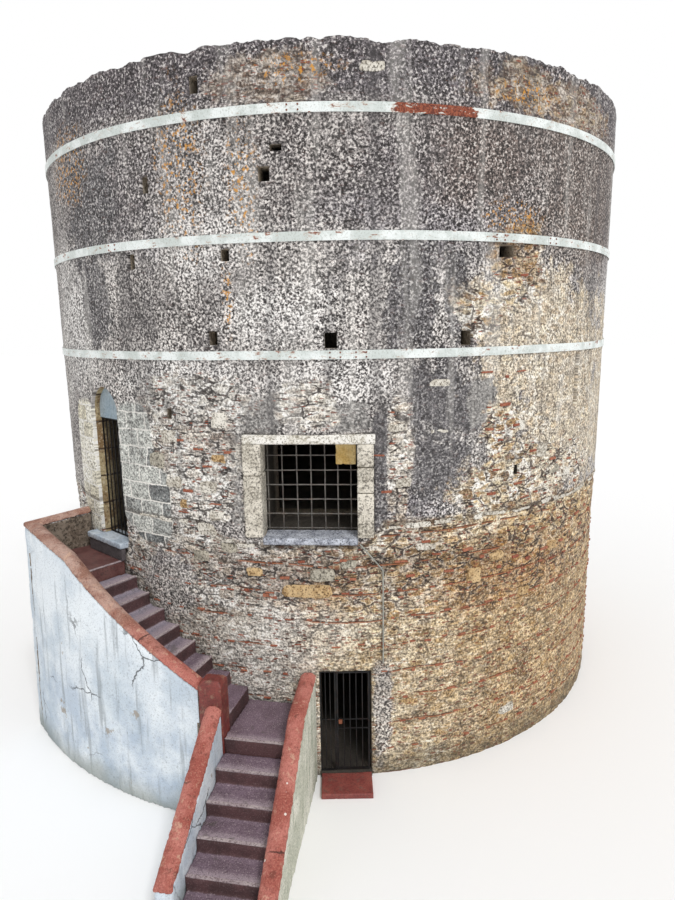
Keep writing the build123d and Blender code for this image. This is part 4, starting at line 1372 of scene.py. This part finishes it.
@dataclass(frozen=True)
class Ribbon:
    """A strip of the wall on which stones are strewn, between two azimuths and heights."""

    start: float
    end: float
    low: float
    high: float
    radius: float = TOWER_R

    def height(self, share: float, azimuth: float) -> float:
        """Height at a share of the strip's width."""
        return self.low + (self.high - self.low) * share


@dataclass(frozen=True)
class LedgeRibbon(Ribbon):
    """A strip that follows the set-off."""

    def height(self, share: float, azimuth: float) -> float:
        """Height above the set-off at a share of the strip's width."""
        return ledge_height(azimuth) + self.low + (self.high - self.low) * share


class Trees:
    """The Geometry Nodes trees that several pieces share."""

    def __init__(self) -> None:
        """Build the trees."""
        self.round_rods = self._rods("round rods", False)
        self.flat_rods = self._rods("flat rods", True)
        self.blocks = self._set_pieces("set blocks", "GeometryNodeMeshCube")
        self.discs = self._set_pieces("set discs", "GeometryNodeMeshCylinder")
        self.strewn = self._strewn()
        self.stones = self._stones()
        self.wear = self._wear()

    @staticmethod
    def _noise_offset(tree: Growth, place: Wire, waves: Operand, depth: Operand) -> Wire:
        """A vector of noise about zero, in metres."""
        sockets = {"Vector": place, "Scale": waves, "Detail": 2.0, "Roughness": 0.55}
        colour = tree.node("ShaderNodeTexNoise", {}, sockets, out="Color")
        middle = tree.shift(colour, (-0.5, -0.5, -0.5))
        return tree.grown(middle, depth)

    def _rods(self, name: str, flat: bool) -> Tree:
        """Bars of a flat or a round section along the edges of a mesh."""
        tree = Growth(name, {"Width": 0.014, "Thickness": 0.014, "Bend": 0.002, "Waves": 3.0})
        lines = tree.node("GeometryNodeMeshToCurve", {}, {"Mesh": tree.given("Geometry")})
        if flat:
            lines = tree.node("GeometryNodeSetCurveNormal", {"mode": "Z_UP"}, {"Curve": lines})
            sizes = {"Width": tree.given("Width"), "Height": tree.given("Thickness")}
            section = tree.node("GeometryNodeCurvePrimitiveQuadrilateral", {}, sizes)
        else:
            sizes = {"Resolution": 8, "Radius": tree.given("Width") * 0.5}
            section = tree.node("GeometryNodeCurvePrimitiveCircle", {}, sizes)
        parts = {"Curve": lines, "Profile Curve": section, "Fill Caps": True}
        solid = tree.node("GeometryNodeCurveToMesh", {}, parts)
        bend = self._noise_offset(tree, tree.here(), tree.given("Waves"), tree.given("Bend"))
        return tree.finish(tree.moved(solid, bend))

    @staticmethod
    def _set_pieces(name: str, shape: str) -> Tree:
        """One block or disc on each vertex, by the attributes turn and size."""
        tree = Growth(name, {"Sides": 12})
        sizes: dict[str, Any] = {"Radius": 0.5, "Depth": 1.0, "Vertices": tree.given("Sides")}
        if shape == "GeometryNodeMeshCube":
            sizes = {"Size": (1.0, 1.0, 1.0)}
        one = tree.node(shape, {}, sizes)
        copies = tree.spread(tree.given("Geometry"), one, tree.stored("turn"), tree.stored("size"))
        return tree.finish(copies)

    @staticmethod
    def _stone(tree: Growth) -> Wire:
        """A block of one metre with its corners rounded by the tree's Round."""
        sizes = {"Size": (1.0, 1.0, 1.0), "Vertices X": 5, "Vertices Y": 3, "Vertices Z": 4}
        cube = tree.node("GeometryNodeMeshCube", {}, sizes)
        corner = tree.here()
        ball = tree.node("ShaderNodeVectorMath", {"operation": "NORMALIZE"}, {0: corner})
        ball = tree.scale(ball, (0.56, 0.56, 0.56))
        mixed = {0: tree.given("Round"), 4: corner, 5: ball}
        soft = tree.node("ShaderNodeMix", {"data_type": "VECTOR"}, mixed, out=1)
        return tree.node("GeometryNodeSetPosition", {}, {"Geometry": cube, "Position": soft})

    def _rough_stones(self, tree: Growth, points: Wire, turn: Wire, size: Wire) -> Tree:
        """Finish a tree with a rough stone on each point."""
        copies = tree.spread(points, self._stone(tree), turn, size)
        real = tree.node("GeometryNodeRealizeInstances", {}, {0: copies})
        bend = self._noise_offset(tree, tree.here(), tree.given("Waves"), tree.given("Rough"))
        return tree.finish(tree.moved(real, bend))

    def _stones(self) -> Tree:
        """One rough stone on each vertex, by the attributes turn and size."""
        tree = Growth("set stones", {"Round": 0.5, "Rough": 0.09, "Waves": 5.0})
        return self._rough_stones(tree, tree.given("Geometry"), tree.stored("turn"), tree.stored("size"))

    def _strewn(self) -> Tree:
        """Rough stones strewn over a mesh, each turned to face out from the tower."""
        inputs = {
            "Density": 20.0, "Spacing": 0.1, "Seed": 1, "Length": 0.2, "Depth": 0.08, "Height": 0.05,
            "Spread": 0.45, "Tilt": 0.08, "Spin": 0.0, "Round": 0.3, "Rough": 0.02, "Waves": 9.0,
        }
        tree = Growth("strewn stones", inputs)
        given = tree.given
        sockets = {
            "Mesh": given("Geometry"), "Distance Min": given("Spacing"), "Density Max": given("Density"),
            "Seed": given("Seed"),
        }
        settings = {"distribute_method": "POISSON"}
        points = tree.node("GeometryNodeDistributePointsOnFaces", settings, sockets)
        east = tree.split(tree.here())
        facing = east.maths("ARCTAN2", east, -east.out(1))
        lean = self._random(tree, given("Seed"))
        vary = self._random(tree, given("Seed") + 7.0)
        turn = tree.vector(
            lean * given("Tilt"), lean.out(1) * given("Tilt"), facing + lean.out(2) * given("Spin")
        )
        size = tree.vector(
            given("Length") * (1.0 + vary * given("Spread")),
            given("Depth") * (1.0 + vary.out(1) * given("Spread") * 0.5),
            given("Height") * (1.0 + vary.out(2) * given("Spread")),
        )
        return self._rough_stones(tree, points, turn, size)

    @staticmethod
    def _random(tree: Growth, seed: Operand) -> Wire:
        """X of a random vector between -1 and 1; its outputs 1 and 2 are Y and Z."""
        sockets = {0: (-1.0, -1.0, -1.0), 1: (1.0, 1.0, 1.0), "Seed": seed}
        return tree.split(tree.node("FunctionNodeRandomValue", {"data_type": "FLOAT_VECTOR"}, sockets))

    def _wear(self) -> Tree:
        """Push a fine mesh in and out along its normals, with some chips."""
        tree = Growth("wear", {"Depth": 0.008, "Waves": 6.0, "Chips": 0.01})
        place = tree.here()
        sockets = {"Vector": place, "Scale": tree.given("Waves"), "Detail": 4.0, "Roughness": 0.6}
        bumps = tree.node("ShaderNodeTexNoise", {}, sockets) - 0.5
        chips = tree.noise(place, 5.0, at=(4.0, 8.0, 2.0)).smooth(0.60, 0.70)
        level = bumps * tree.given("Depth") - chips * tree.given("Chips")
        normal = tree.node("GeometryNodeInputNormal")
        return tree.finish(tree.moved(tree.given("Geometry"), tree.grown(normal, level)))


def lines_mesh(paths: Iterable[Sequence[Vector]]) -> Mesh:
    """A mesh of edges along each path."""
    mesh = bpy.data.meshes.new("lines")
    points: list[tuple[float, ...]] = []
    edges: list[tuple[int, int]] = []
    for path in paths:
        first = len(points)
        points += [tuple(p) for p in path]
        edges += [(first + i, first + i + 1) for i in range(len(path) - 1)]
    mesh.from_pydata(points, edges, [])
    return mesh


def spots_mesh(spots: Sequence[Spot]) -> Mesh:
    """A mesh of loose vertices that carry each spot's turn and size."""
    mesh = bpy.data.meshes.new("spots")
    mesh.from_pydata([tuple(spot.place) for spot in spots], [], [])
    for label in ("turn", "size"):
        attribute = mesh.attributes.new(label, "FLOAT_VECTOR", "POINT")
        values = [value for spot in spots for value in getattr(spot, label)]
        attribute.data.foreach_set("vector", values)
    return mesh


def ribbons_mesh(ribbons: Iterable[Ribbon], step: float = 2.0) -> Mesh:
    """A mesh of the strips, in pieces of a few degrees."""
    mesh = bpy.data.meshes.new("ribbons")
    points: list[tuple[float, ...]] = []
    faces: list[tuple[int, ...]] = []
    for ribbon in ribbons:
        count = max(1, round((ribbon.end - ribbon.start) / step))
        first = len(points)
        for i in range(count + 1):
            azimuth = ribbon.start + (ribbon.end - ribbon.start) * i / count
            for share in (0.0, 1.0):
                points.append(tuple(around(ribbon.radius, azimuth, ribbon.height(share, azimuth))))
        for i in range(count):
            a = first + 2 * i
            faces.append((a, a + 2, a + 3, a + 1))
    mesh.from_pydata(points, [], faces)
    return mesh


def part_of(mesh: Mesh, tree: Tree, finish: Material, **values: Any) -> Part:
    """Run a mesh through a tree and remove it.

    Args:
        mesh: The mesh to start from.
        tree: The tree.
        finish: The material that it takes.
        **values: The tree's inputs.

    Returns:
        What comes out, and its material.
    """
    made = evaluate(mesh, tree, {"Finish": finish, **values})
    bpy.data.meshes.remove(mesh)
    return made, finish


def joined(*parts: Part) -> Mesh:
    """Join meshes into one, each with its own material and with its faces turned outward."""
    shape = bmesh.new()
    for number, (mesh, _) in enumerate(parts):
        before = len(shape.faces)
        shape.from_mesh(mesh)
        shape.faces.ensure_lookup_table()
        for face in shape.faces[before:]:
            face.material_index = number
            face.smooth = False
    bmesh.ops.recalc_face_normals(shape, faces=shape.faces)
    whole = mesh_of(shape, "joined")
    for mesh, material in parts:
        whole.materials.append(material)
        bpy.data.meshes.remove(mesh)
    return whole


def islands(shape: bmesh.types.BMesh) -> list[list[bmesh.types.BMVert]]:
    """The vertices of each separate solid of a mesh."""
    left = dict.fromkeys(shape.verts)
    found = []
    while left:
        stack = [left.popitem()[0]]
        island = list(stack)
        while stack:
            for edge in stack.pop().link_edges:
                for vert in edge.verts:
                    if vert in left:
                        del left[vert]
                        stack.append(vert)
                        island.append(vert)
        found.append(island)
    return found


def fine_mesh(mesh: Mesh, voxel: float) -> Mesh:
    """An even fine mesh of a closed one."""
    holder = stand("holder", mesh)
    modifier = holder.modifiers.new("remesh", "REMESH")
    modifier.mode = "VOXEL"
    modifier.voxel_size = voxel
    return settled(holder, modifier)


def remeshed(nodes: Sequence[str], voxel: float) -> Mesh:
    """An even fine mesh of CAD nodes in cells of this many metres, with each solid kept apart."""
    whole = bmesh.new()
    for name in nodes:
        shape = solid_of(name)
        shape.verts.index_update()
        for island in islands(shape):
            part = shape.copy()
            kept = {vert.index for vert in island}
            others = [vert for vert in part.verts if vert.index not in kept]
            bmesh.ops.delete(part, geom=others, context="VERTS")
            mesh = mesh_of(part, "solid")
            fine = fine_mesh(mesh, voxel)
            whole.from_mesh(fine)
            bpy.data.meshes.remove(fine)
            bpy.data.meshes.remove(mesh)
        shape.free()
    return mesh_of(whole, "remeshed")


@dataclass(frozen=True)
class StepFront:
    """The front edge of a step and the way that its riser faces."""

    LONG = 0.3
    LEVEL = 0.95
    UPRIGHT = 0.2
    AHEAD = 0.7
    REACH = 0.24

    left: Vector
    right: Vector
    facing: Vector

    def far(self, points: np.ndarray) -> np.ndarray:
        """Distance of each point from the edge."""
        start = np.array(self.left)
        along = np.array(self.right) - start
        share = np.clip((points - start) @ along / (along @ along), 0.0, 1.0)
        return np.linalg.norm(points - start - share[:, None] * along, axis=1)


def step_fronts(name: str) -> list[StepFront]:
    """The front edges of the steps of a CAD node."""
    shape = solid_of(name)
    found = []
    for edge in shape.edges:
        if len(edge.link_faces) != 2 or edge.calc_length() < StepFront.LONG or not edge.is_convex:
            continue
        low, high = sorted(edge.link_faces, key=lambda face: face.normal.z)
        if high.normal.z < StepFront.LEVEL or abs(low.normal.z) > StepFront.UPRIGHT:
            continue
        left, right = (vert.co.copy() for vert in edge.verts)
        middle = (left + right) / 2
        azimuth = math.degrees(math.atan2(middle.x, -middle.y))
        ahead = around(1.0, STAIR_AZ)
        if math.hypot(middle.x, middle.y) < TOWER_R + UPPER_STAIR_W and azimuth < -20.0:
            ahead = around(1.0, azimuth + 90.0)
        if low.normal.dot(ahead) > StepFront.AHEAD:
            found.append(StepFront(left, right, low.normal.normalized()))
    shape.free()
    return found


@dataclass(frozen=True)
class Worn:
    """CAD nodes with rounded, uneven and chipped faces."""

    name: str
    nodes: tuple[str, ...]
    finish: str
    slot: str
    voxel: float = 0.025
    depth: float = 0.012
    waves: float = 6.0
    chips: float = 0.010
    inside: str = ""

    def build(self, finishes: Finishes, trees: Trees) -> None:
        """Make the piece in place of its nodes."""
        solids = remeshed(self.nodes, self.voxel)
        finish = finishes[self.finish]
        mesh, _ = part_of(solids, trees.wear, finish, Depth=self.depth, Waves=self.waves, Chips=self.chips)
        for vertex in mesh.vertices:
            vertex.co.z = max(vertex.co.z, 0.0)
        if self.inside:
            mesh.materials.append(finishes[self.inside])
        for polygon in mesh.polygons:
            polygon.use_smooth = True
            if self.inside and self._faces_stair(polygon):
                polygon.material_index = 1
        fronts = [front for name in self.nodes for front in step_fronts(name)]
        if fronts:
            self._mark_fronts(mesh, fronts)
        add_piece(self.name, mesh, Body.TOWER, self.slot, self.nodes)

    @staticmethod
    def _mark_fronts(mesh: Mesh, fronts: Sequence[StepFront]) -> None:
        """Store how near each vertex is to a step's front edge, from 0 to 1."""
        places = np.empty(len(mesh.vertices) * 3, np.float32)
        mesh.vertices.foreach_get("co", places)
        places = places.reshape(-1, 3).astype(float)
        far = np.min([front.far(places) for front in fronts], axis=0)
        attribute = mesh.attributes.new("front", "FLOAT", "POINT")
        near = np.clip(1.0 - far / StepFront.REACH, 0.0, 1.0)
        attribute.data.foreach_set("value", near.astype(np.float32))

    @staticmethod
    def _faces_stair(polygon: bpy.types.MeshPolygon) -> bool:
        """Whether a face looks along the stair or in at the tower."""
        middle = polygon.center
        azimuth = math.degrees(math.atan2(middle.x, -middle.y))
        along = polygon.normal.dot(around(1.0, azimuth + 90.0))
        inward = polygon.normal.dot(-around(1.0, azimuth))
        return max(along, inward) > 0.6


WORN = (
    Worn("worn_lower_flight", ("lower_flight", "stair_landing"), "tread cement", "tread_cement",
         0.027, 0.016),
    Worn("worn_upper_flight", ("upper_flight",), "tread cement", "tread_cement", 0.029, 0.016),
    Worn("worn_upper_landing", ("upper_landing",), "red tiles", "tread_cement", 0.034, 0.010),
    Worn("worn_upper_parapet", ("upper_parapet",), "limewash", "limewash", 0.036, 0.022, 3.0,
         inside="dark rough stone"),
    Worn("worn_end_parapet", ("end_parapet",), "limewash", "limewash", 0.038, 0.03, 4.0,
         inside="dark rough stone"),
    Worn("worn_left_parapet", ("lower_left_parapet",), "limewash", "limewash", 0.03, 0.018, 4.0),
    Worn("worn_right_parapet", ("lower_right_parapet",), "streaked cement", "parapet_cement",
         0.03, 0.018, 4.0),
    Worn("worn_left_coping", ("lower_left_coping",), "coping terracotta", "coping_terracotta",
         0.014, 0.010, 5.0),
    Worn("worn_right_coping", ("lower_right_coping",), "coping terracotta", "coping_terracotta",
         0.016, 0.010, 5.0),
    Worn("worn_upper_coping", ("upper_coping",), "coping terracotta", "coping_terracotta",
         0.018, 0.010, 5.0),
    Worn("worn_pier", ("stair_pier",), "chipped red", "pier_red", 0.020, 0.010, 5.0, 0.018),
    Worn("worn_doorstep", ("doorstep_slab",), "step marble", "marble", 0.017, 0.008, 5.0, 0.006),
    Worn("worn_riser", ("doorstep_riser",), "dark riser stone", "step_stone", 0.016, 0.014, 6.0),
    Worn("worn_threshold", ("threshold_slab",), "red cement", "red_cement", 0.014, 0.008, 6.0, 0.006),
    Worn("worn_window_lintel", ("window_lintel",), "dressed limestone", "limestone",
         0.016, 0.014, 7.0, 0.012),
    Worn("worn_window_jambs", ("window_jambs",), "worn limestone", "limestone", 0.020, 0.014, 7.0, 0.012),
    Worn("worn_window_sill", ("window_sill",), "rough cement sill", "sill_mortar", 0.016, 0.020, 8.0),
    Worn("worn_window_block", ("window_block",), "yellow corner stone", "corner_stone",
         0.012, 0.010, 8.0),
)


@dataclass(frozen=True)
class Strewn:
    """Stones or shards strewn along ribbons of the wall."""

    name: str
    finish: str
    slot: str
    ribbons: tuple[Ribbon, ...]
    values: Mapping[str, Any]

    def build(self, finishes: Finishes, trees: Trees) -> None:
        """Make the piece."""
        stones = part_of(ribbons_mesh(self.ribbons), trees.strewn, finishes[self.finish], **self.values)
        add_piece(self.name, joined(stones), Body.TOWER, self.slot)


def strewn_pieces() -> tuple[Strewn, ...]:
    """The flat stones of the set-off, the brick shards and the loose stones of the rim."""
    courses = tuple(
        Ribbon(6.5, 354.5, z - 0.02, z + 0.02, COURSE_R) for z in (0.42, 0.86, 1.28, 1.70)
    ) + tuple(Ribbon(-12.0, 348.0, z - 0.02, z + 0.02, COURSE_R) for z in (2.16, 2.58, 2.99))
    patches = (
        Ribbon(-26.0, -14.0, 3.95, 5.6, BED_R), Ribbon(5.5, 9.0, 4.3, 5.9, BED_R),
        Ribbon(24.0, 52.0, 4.15, 4.9, 5.358), Ribbon(23.0, 33.0, 7.1, 7.65, 5.355),
        Ribbon(8.0, 60.0, 3.1, 3.7, BED_R), Ribbon(-12.0, 5.0, 2.9, 3.5, BED_R),
        Ribbon(23.0, 31.0, 4.9, 6.2, 5.372), Ribbon(100.0, 150.0, 4.3, 6.0, 5.36),
        Ribbon(-150.0, -80.0, 4.2, 5.5, 5.36),
    )
    ledge = (LedgeRibbon(5.5, 75.0, -0.035, 0.0, BED_R), LedgeRibbon(-34.0, -14.0, -0.035, 0.0, BED_R),
             LedgeRibbon(75.0, 300.0, -0.035, 0.0, BED_R))
    shard = {"Spacing": 0.21, "Density": 220.0, "Seed": 4, "Length": 0.095, "Depth": 0.065, "Height": 0.018,
             "Spread": 0.5, "Tilt": 0.06, "Round": 0.15, "Rough": 0.012}
    loose = dict(shard, Spacing=0.26, Density=11.0, Seed=9, Length=0.14, Height=0.030)
    flat = dict(shard, Spacing=0.24, Density=200.0, Seed=5, Length=0.27, Depth=0.085, Height=0.05, Round=0.25,
                Rough=0.03)
    return (
        Strewn("brick_courses", "brick shard", "coping_terracotta", courses, shard),
        Strewn("brick_shards", "brick shard", "coping_terracotta", patches, loose),
        Strewn("ledge_stones", "flat stone", "limestone", ledge, flat),
    )


@dataclass(frozen=True)
class SetStones:
    """Large stones that stand out in the rubble, by azimuth, height, width and height."""

    depth: float = 0.09
    middle: float = BED_R
    kinds: tuple[tuple[str, tuple[tuple[float, float, float, float], ...]], ...] = (
        ("ochre stone", (
            (-4.7, 3.02, 0.72, 0.20), (22.6, 3.06, 0.28, 0.26), (-24.3, 4.24, 0.22, 0.15),
            (27.0, 3.30, 0.24, 0.14), (-18.2, 4.95, 0.24, 0.13), (-13.0, 3.28, 0.26, 0.13),
            (33.5, 2.6, 0.24, 0.12), (41.0, 3.2, 0.26, 0.14),
        )),
        ("grey stone", (
            (-2.3, 3.27, 0.36, 0.19), (-29.8, 4.86, 0.30, 0.24), (-22.2, 3.45, 0.28, 0.16),
            (40.5, 4.5, 0.26, 0.15), (-17.0, 3.62, 0.26, 0.13), (1.8, 3.42, 0.24, 0.12),
        )),
        ("flat stone", (
            (-26.9, 5.24, 0.30, 0.20), (-20.8, 3.87, 0.32, 0.20), (-17.7, 5.50, 0.26, 0.22),
            (-20.2, 4.52, 0.30, 0.18), (-26.6, 4.55, 0.26, 0.20), (15.8, 5.99, 0.34, 0.11),
            (15.9, 5.30, 0.30, 0.08), (-18.6, 4.1, 0.30, 0.16), (10.2, 4.6, 0.24, 0.14),
            (9.0, 5.4, 0.22, 0.14), (36.5, 4.85, 0.28, 0.2), (45.0, 4.4, 0.3, 0.16),
            (5.8, 9.97, 0.34, 0.12), (31.0, 5.3, 0.22, 0.15), (14.0, 3.62, 0.34, 0.09),
            (30.5, 0.62, 0.3, 0.14),
        )),
    )

    def build(self, finishes: Finishes, trees: Trees) -> None:
        """Make the piece."""
        parts = []
        for finish, stones in self.kinds:
            spots = [
                Spot(around(self.middle, az, z), (0.0, 0.0, math.radians(az)), (wide, self.depth, high))
                for az, z, wide, high in stones
            ]
            parts.append(part_of(spots_mesh(spots), trees.stones, finishes[finish]))
        add_piece("large_stones", joined(*parts), Body.TOWER, "rubble_masonry")


@dataclass(frozen=True)
class RimStones:
    """Rough stones lying in the worn top of the rim."""

    def build(self, finishes: Finishes, trees: Trees) -> None:
        """Make the piece."""
        inner, outer, count = RIM_INNER_R + 0.10, TOWER_R - 0.13, 120
        mesh = bpy.data.meshes.new("ring")
        bed = RIM_TOP - 0.055
        points = [tuple(around(r, 360.0 * i / count, bed)) for i in range(count) for r in (inner, outer)]
        last = 2 * count
        faces = [(i, i + 1, (i + 3) % last, (i + 2) % last) for i in range(0, last, 2)]
        mesh.from_pydata(points, [], faces)
        values = {
            "Spacing": 0.13, "Density": 34.0, "Seed": 3, "Length": 0.19,
            "Depth": 0.14, "Height": 0.055, "Spread": 0.45, "Tilt": 0.07, "Spin": 1.5, "Round": 0.4,
            "Rough": 0.025, "Waves": 7.0,
        }
        stones = part_of(mesh, trees.strewn, finishes["rim stone"], **values)
        add_piece("rim_stones", joined(stones), Body.TOWER, "rim_masonry")


@dataclass(frozen=True)
class Hoops:
    """Flat steel hoops that stray a little, with cover plates and bolts at their joints."""

    plates: tuple[tuple[int, float], ...] = ((2, -5.0), (1, -36.1), (1, 25.4), (1, 36.5), (0, 0.2), (0, 3.9))
    radius: float = TOWER_R + 0.006
    step: float = 1.5
    stray: float = 0.009

    def build(self, finishes: Finishes, trees: Trees) -> None:
        """Make the hoops in place of the plain ones."""
        steel = finishes["hoop paint"]
        rings = lines_mesh(self._path(level, -180.0, 180.0) for level in range(len(HOOP_CENTRES)))
        covers, heads = self._fixings()
        mesh = joined(
            part_of(rings, trees.flat_rods, steel, Width=HOOP_T * 0.75, Thickness=HOOP_H, Bend=0.004),
            part_of(spots_mesh(covers), trees.blocks, steel),
            part_of(spots_mesh(heads), trees.discs, finishes["rust"], Sides=6),
        )
        add_piece("jointed_hoops", mesh, Body.TOWER, "hoop_paint", ("steel_hoops",))

    def _path(self, level: int, start: float, end: float) -> list[Vector]:
        """Points along a stretch, which sags and strays a little."""
        count = round((end - start) / self.step)
        path = []
        for i in range(count + 1):
            azimuth = start + (end - start) * i / count
            seed = self._seed(level, azimuth) * 5.0
            out = max(0.0, noise.noise(seed + Vector((3.0, 1.0, 0.0)))) * 0.004
            path.append(around(self.radius + out, azimuth, self._height(level, azimuth)))
        return path

    def _height(self, level: int, azimuth: float) -> float:
        """Height of a hoop's middle, which strays a little."""
        return HOOP_CENTRES[level] + noise.noise(self._seed(level, azimuth) * 2.6) * self.stray

    @staticmethod
    def _seed(level: int, azimuth: float) -> Vector:
        """Where a point of a hoop takes its noise."""
        return around(1.0, azimuth, level * 7.0)

    def _fixings(self) -> tuple[list[Spot], list[Spot]]:
        """Cover plates and the bolts through them, at the joints seen and at others round the back."""
        covers: list[Spot] = []
        heads: list[Spot] = []
        hidden = tuple((level, az) for level in range(3) for az in (88.0 + 9.0 * level, 200.0 - 6.0 * level))
        for level, azimuth in self.plates + hidden:
            turn = (0.0, 0.0, math.radians(azimuth))
            centre = self._height(level, azimuth)
            middle = around(self.radius + 0.008, azimuth, centre)
            covers.append(Spot(middle, turn, (0.20, 0.008, HOOP_H * 0.94)))
            for side in (-0.07, 0.07):
                for up in (-0.032, 0.032):
                    place = azimuth + math.degrees(side / TOWER_R)
                    spot = around(self.radius + 0.016, place, centre + up)
                    heads.append(Spot(spot, (math.pi / 2, 0.0, math.radians(place)), (0.024, 0.024, 0.012)))
        return covers, heads


@dataclass(frozen=True)
class WindowGrille:
    """The window's crossed iron bars, left out of the solid part."""

    plane: float = 5.02
    uprights: tuple[float, ...] = (-0.641, -0.427, -0.214, -0.010, 0.195, 0.384, 0.573)
    low: float = 3.80
    high: float = 5.20
    half_width: float = 0.70
    pitch: float = 0.2185
    first: float = 4.965

    def _at(self, across: float, height: float, out: float = 0.0) -> Vector:
        """Point in the grille's plane."""
        middle = around(self.plane + out, WINDOW_AZ, height)
        side = around(1.0, WINDOW_AZ + 90.0)
        return middle + side * across

    def build(self, finishes: Finishes, trees: Trees) -> None:
        """Make the bars."""
        levels = [self.first - self.pitch * i for i in range(6)]
        ups = [self.low + (self.high - self.low) * k / 12 for k in range(13)]
        sides = [-self.half_width + self.half_width * k / 6 for k in range(13)]
        paths = [[self._at(x, z) for z in ups] for x in self.uprights]
        paths += [[self._at(x, z, 0.012) for x in sides] for z in levels]
        ties = [
            Spot(self._at(x, z, 0.010), (0.0, 0.0, math.radians(WINDOW_AZ)), (0.026, 0.022, 0.026))
            for x in self.uprights for z in levels
        ]
        iron = finishes["grille iron"]
        mesh = joined(
            part_of(lines_mesh(paths), trees.round_rods, iron, Width=0.020, Bend=0.016, Waves=2.5),
            part_of(spots_mesh(ties), trees.blocks, iron),
        )
        add_piece("window_grille", mesh, Body.TOWER, "gate_iron")


@dataclass(frozen=True)
class Nosings:
    """Worn paler strips along the front edges of the steps."""

    nodes: tuple[str, ...] = ("lower_flight", "stair_landing", "upper_flight", "upper_landing")
    width: float = 0.045
    thickness: float = 0.010

    def build(self, finishes: Finishes, trees: Trees) -> None:
        """Make the strips."""
        paths = [self._strip(front) for name in self.nodes for front in step_fronts(name)]
        strips = part_of(
            lines_mesh(paths), trees.flat_rods, finishes["worn nosing"],
            Width=self.width, Thickness=self.thickness, Bend=0.012, Waves=7.0,
        )
        add_piece("step_nosings", joined(strips), Body.TOWER, "tread_cement")

    def _strip(self, front: StepFront) -> list[Vector]:
        """Points along a step's edge, drawn in over its tread."""
        a, b = (end - front.facing * (self.width * 0.45) for end in (front.left, front.right))
        up = Vector((0.0, 0.0, self.thickness * 0.25))
        return [a.lerp(b, 0.02 + 0.96 * k / 10) + up for k in range(11)]


@dataclass(frozen=True)
class GateFittings:
    """Padlock and hasp of the lower gate."""

    place: tuple[float, float] = (0.012, -TOWER_R + 0.035)

    def build(self, finishes: Finishes, trees: Trees) -> None:
        """Make the padlock on the moving leaf."""
        x, y = self.place
        body = [
            Spot(Vector((x, y, 0.93)), (0.0, 0.0, 0.0), (0.055, 0.028, 0.050)),
            Spot(Vector((x, y - 0.005, 0.90)), (0.0, 0.0, 0.0), (0.050, 0.020, 0.012)),
        ]
        bow = [
            Vector((x + 0.018 * math.cos(t), y, 0.955 + 0.03 * math.sin(t)))
            for t in np.linspace(0.0, math.pi, 13)
        ]
        mesh = joined(
            part_of(spots_mesh(body), trees.blocks, finishes["rust"]),
            part_of(lines_mesh([bow]), trees.round_rods, finishes["gate iron"], Width=0.008),
        )
        add_piece("gate_padlock", mesh, Body.GATE, "gate_iron")


@dataclass
class Studio:
    """Camera, pale floor, even sky and soft sun."""

    eye: Triple = (0.0, -14.1804, 6.83)
    ahead: Triple = (0.00342547, 0.98132027, -0.1923507)
    right: Triple = (0.99986284, -0.00647796, -0.01524275)
    above: Triple = (0.01620406, 0.1922721, 0.98120786)
    lens: float = 25.916
    sensor: float = 36.0
    floor_half: float = 150.0
    sky: float = 0.72
    sun: float = 1.6
    sun_degrees: float = 14.0
    sun_way: Triple = (-0.35, 0.75, -0.95)

    def build(self) -> None:
        """Set up the camera, the floor and the light."""
        self._camera()
        self._floor()
        self._light()

    def _camera(self) -> None:
        """The camera at the photograph's viewpoint."""
        data = bpy.data.cameras.new("camera")
        data.lens = self.lens
        data.sensor_width = self.sensor
        data.sensor_fit = "AUTO"
        data.clip_end = 400.0
        camera = stand("camera", data)
        turn = Matrix((self.right, self.above, tuple(-v for v in self.ahead))).transposed()
        camera.matrix_world = Matrix.Translation(self.eye) @ turn.to_4x4()
        bpy.context.scene.camera = camera

    def _floor(self) -> None:
        """A wide plain floor that shows white to the camera and keeps the shadow."""
        mesh = bpy.data.meshes.new("floor")
        size = self.floor_half
        corners = [(-size, -size, 0.0), (size, -size, 0.0), (size, size, 0.0), (-size, size, 0.0)]
        mesh.from_pydata(corners, [], [(0, 1, 2, 3)])
        floor = stand("floor", mesh)
        web = Surface("pale floor")
        mesh.materials.append(web.close(Base_Color=paint("f6f6f6"), Roughness=0.9))

    def _light(self) -> None:
        """An even sky and one soft sun."""
        world = bpy.data.worlds.new("sky")
        bpy.context.scene.world = world
        world.use_nodes = True
        web = Web(world.node_tree)
        background = world.node_tree.nodes["Background"]
        path = web.node("ShaderNodeLightPath")
        seen = path.out("Is Camera Ray").most(path.out("Is Glossy Ray")).most(path.out("Is Transmission Ray"))
        web.put(background.inputs["Color"], paint("ffffff"))
        web.put(background.inputs["Strength"], self.sky + seen * (1.0 - self.sky))
        lamp = bpy.data.lights.new("sun", "SUN")
        lamp.energy = self.sun
        lamp.angle = math.radians(self.sun_degrees)
        sun = stand("sun", lamp)
        sun.rotation_mode = "QUATERNION"
        sun.rotation_quaternion = Vector(self.sun_way).to_track_quat("-Z", "Y")
        bpy.context.scene.view_settings.view_transform = "Standard"


def main() -> None:
    """Build every part of the scene in order."""
    logging.basicConfig(level=logging.INFO, format="%(message)s")
    Studio().build()
    finishes = Finishes()
    under = {node: worn.finish for worn in WORN for node in worn.nodes}
    for name, finish in {**NODE_FINISHES, **under}.items():
        dress_node(name, finishes[finish])
    trees = Trees()
    TowerWall().build(finishes)
    for worn in WORN:
        worn.build(finishes, trees)
    for strewn in strewn_pieces():
        strewn.build(finishes, trees)
    for detail in (SetStones(), RimStones(), Hoops(), WindowGrille(), Nosings(), GateFittings()):
        detail.build(finishes, trees)


if __name__ == "__main__":
    main()
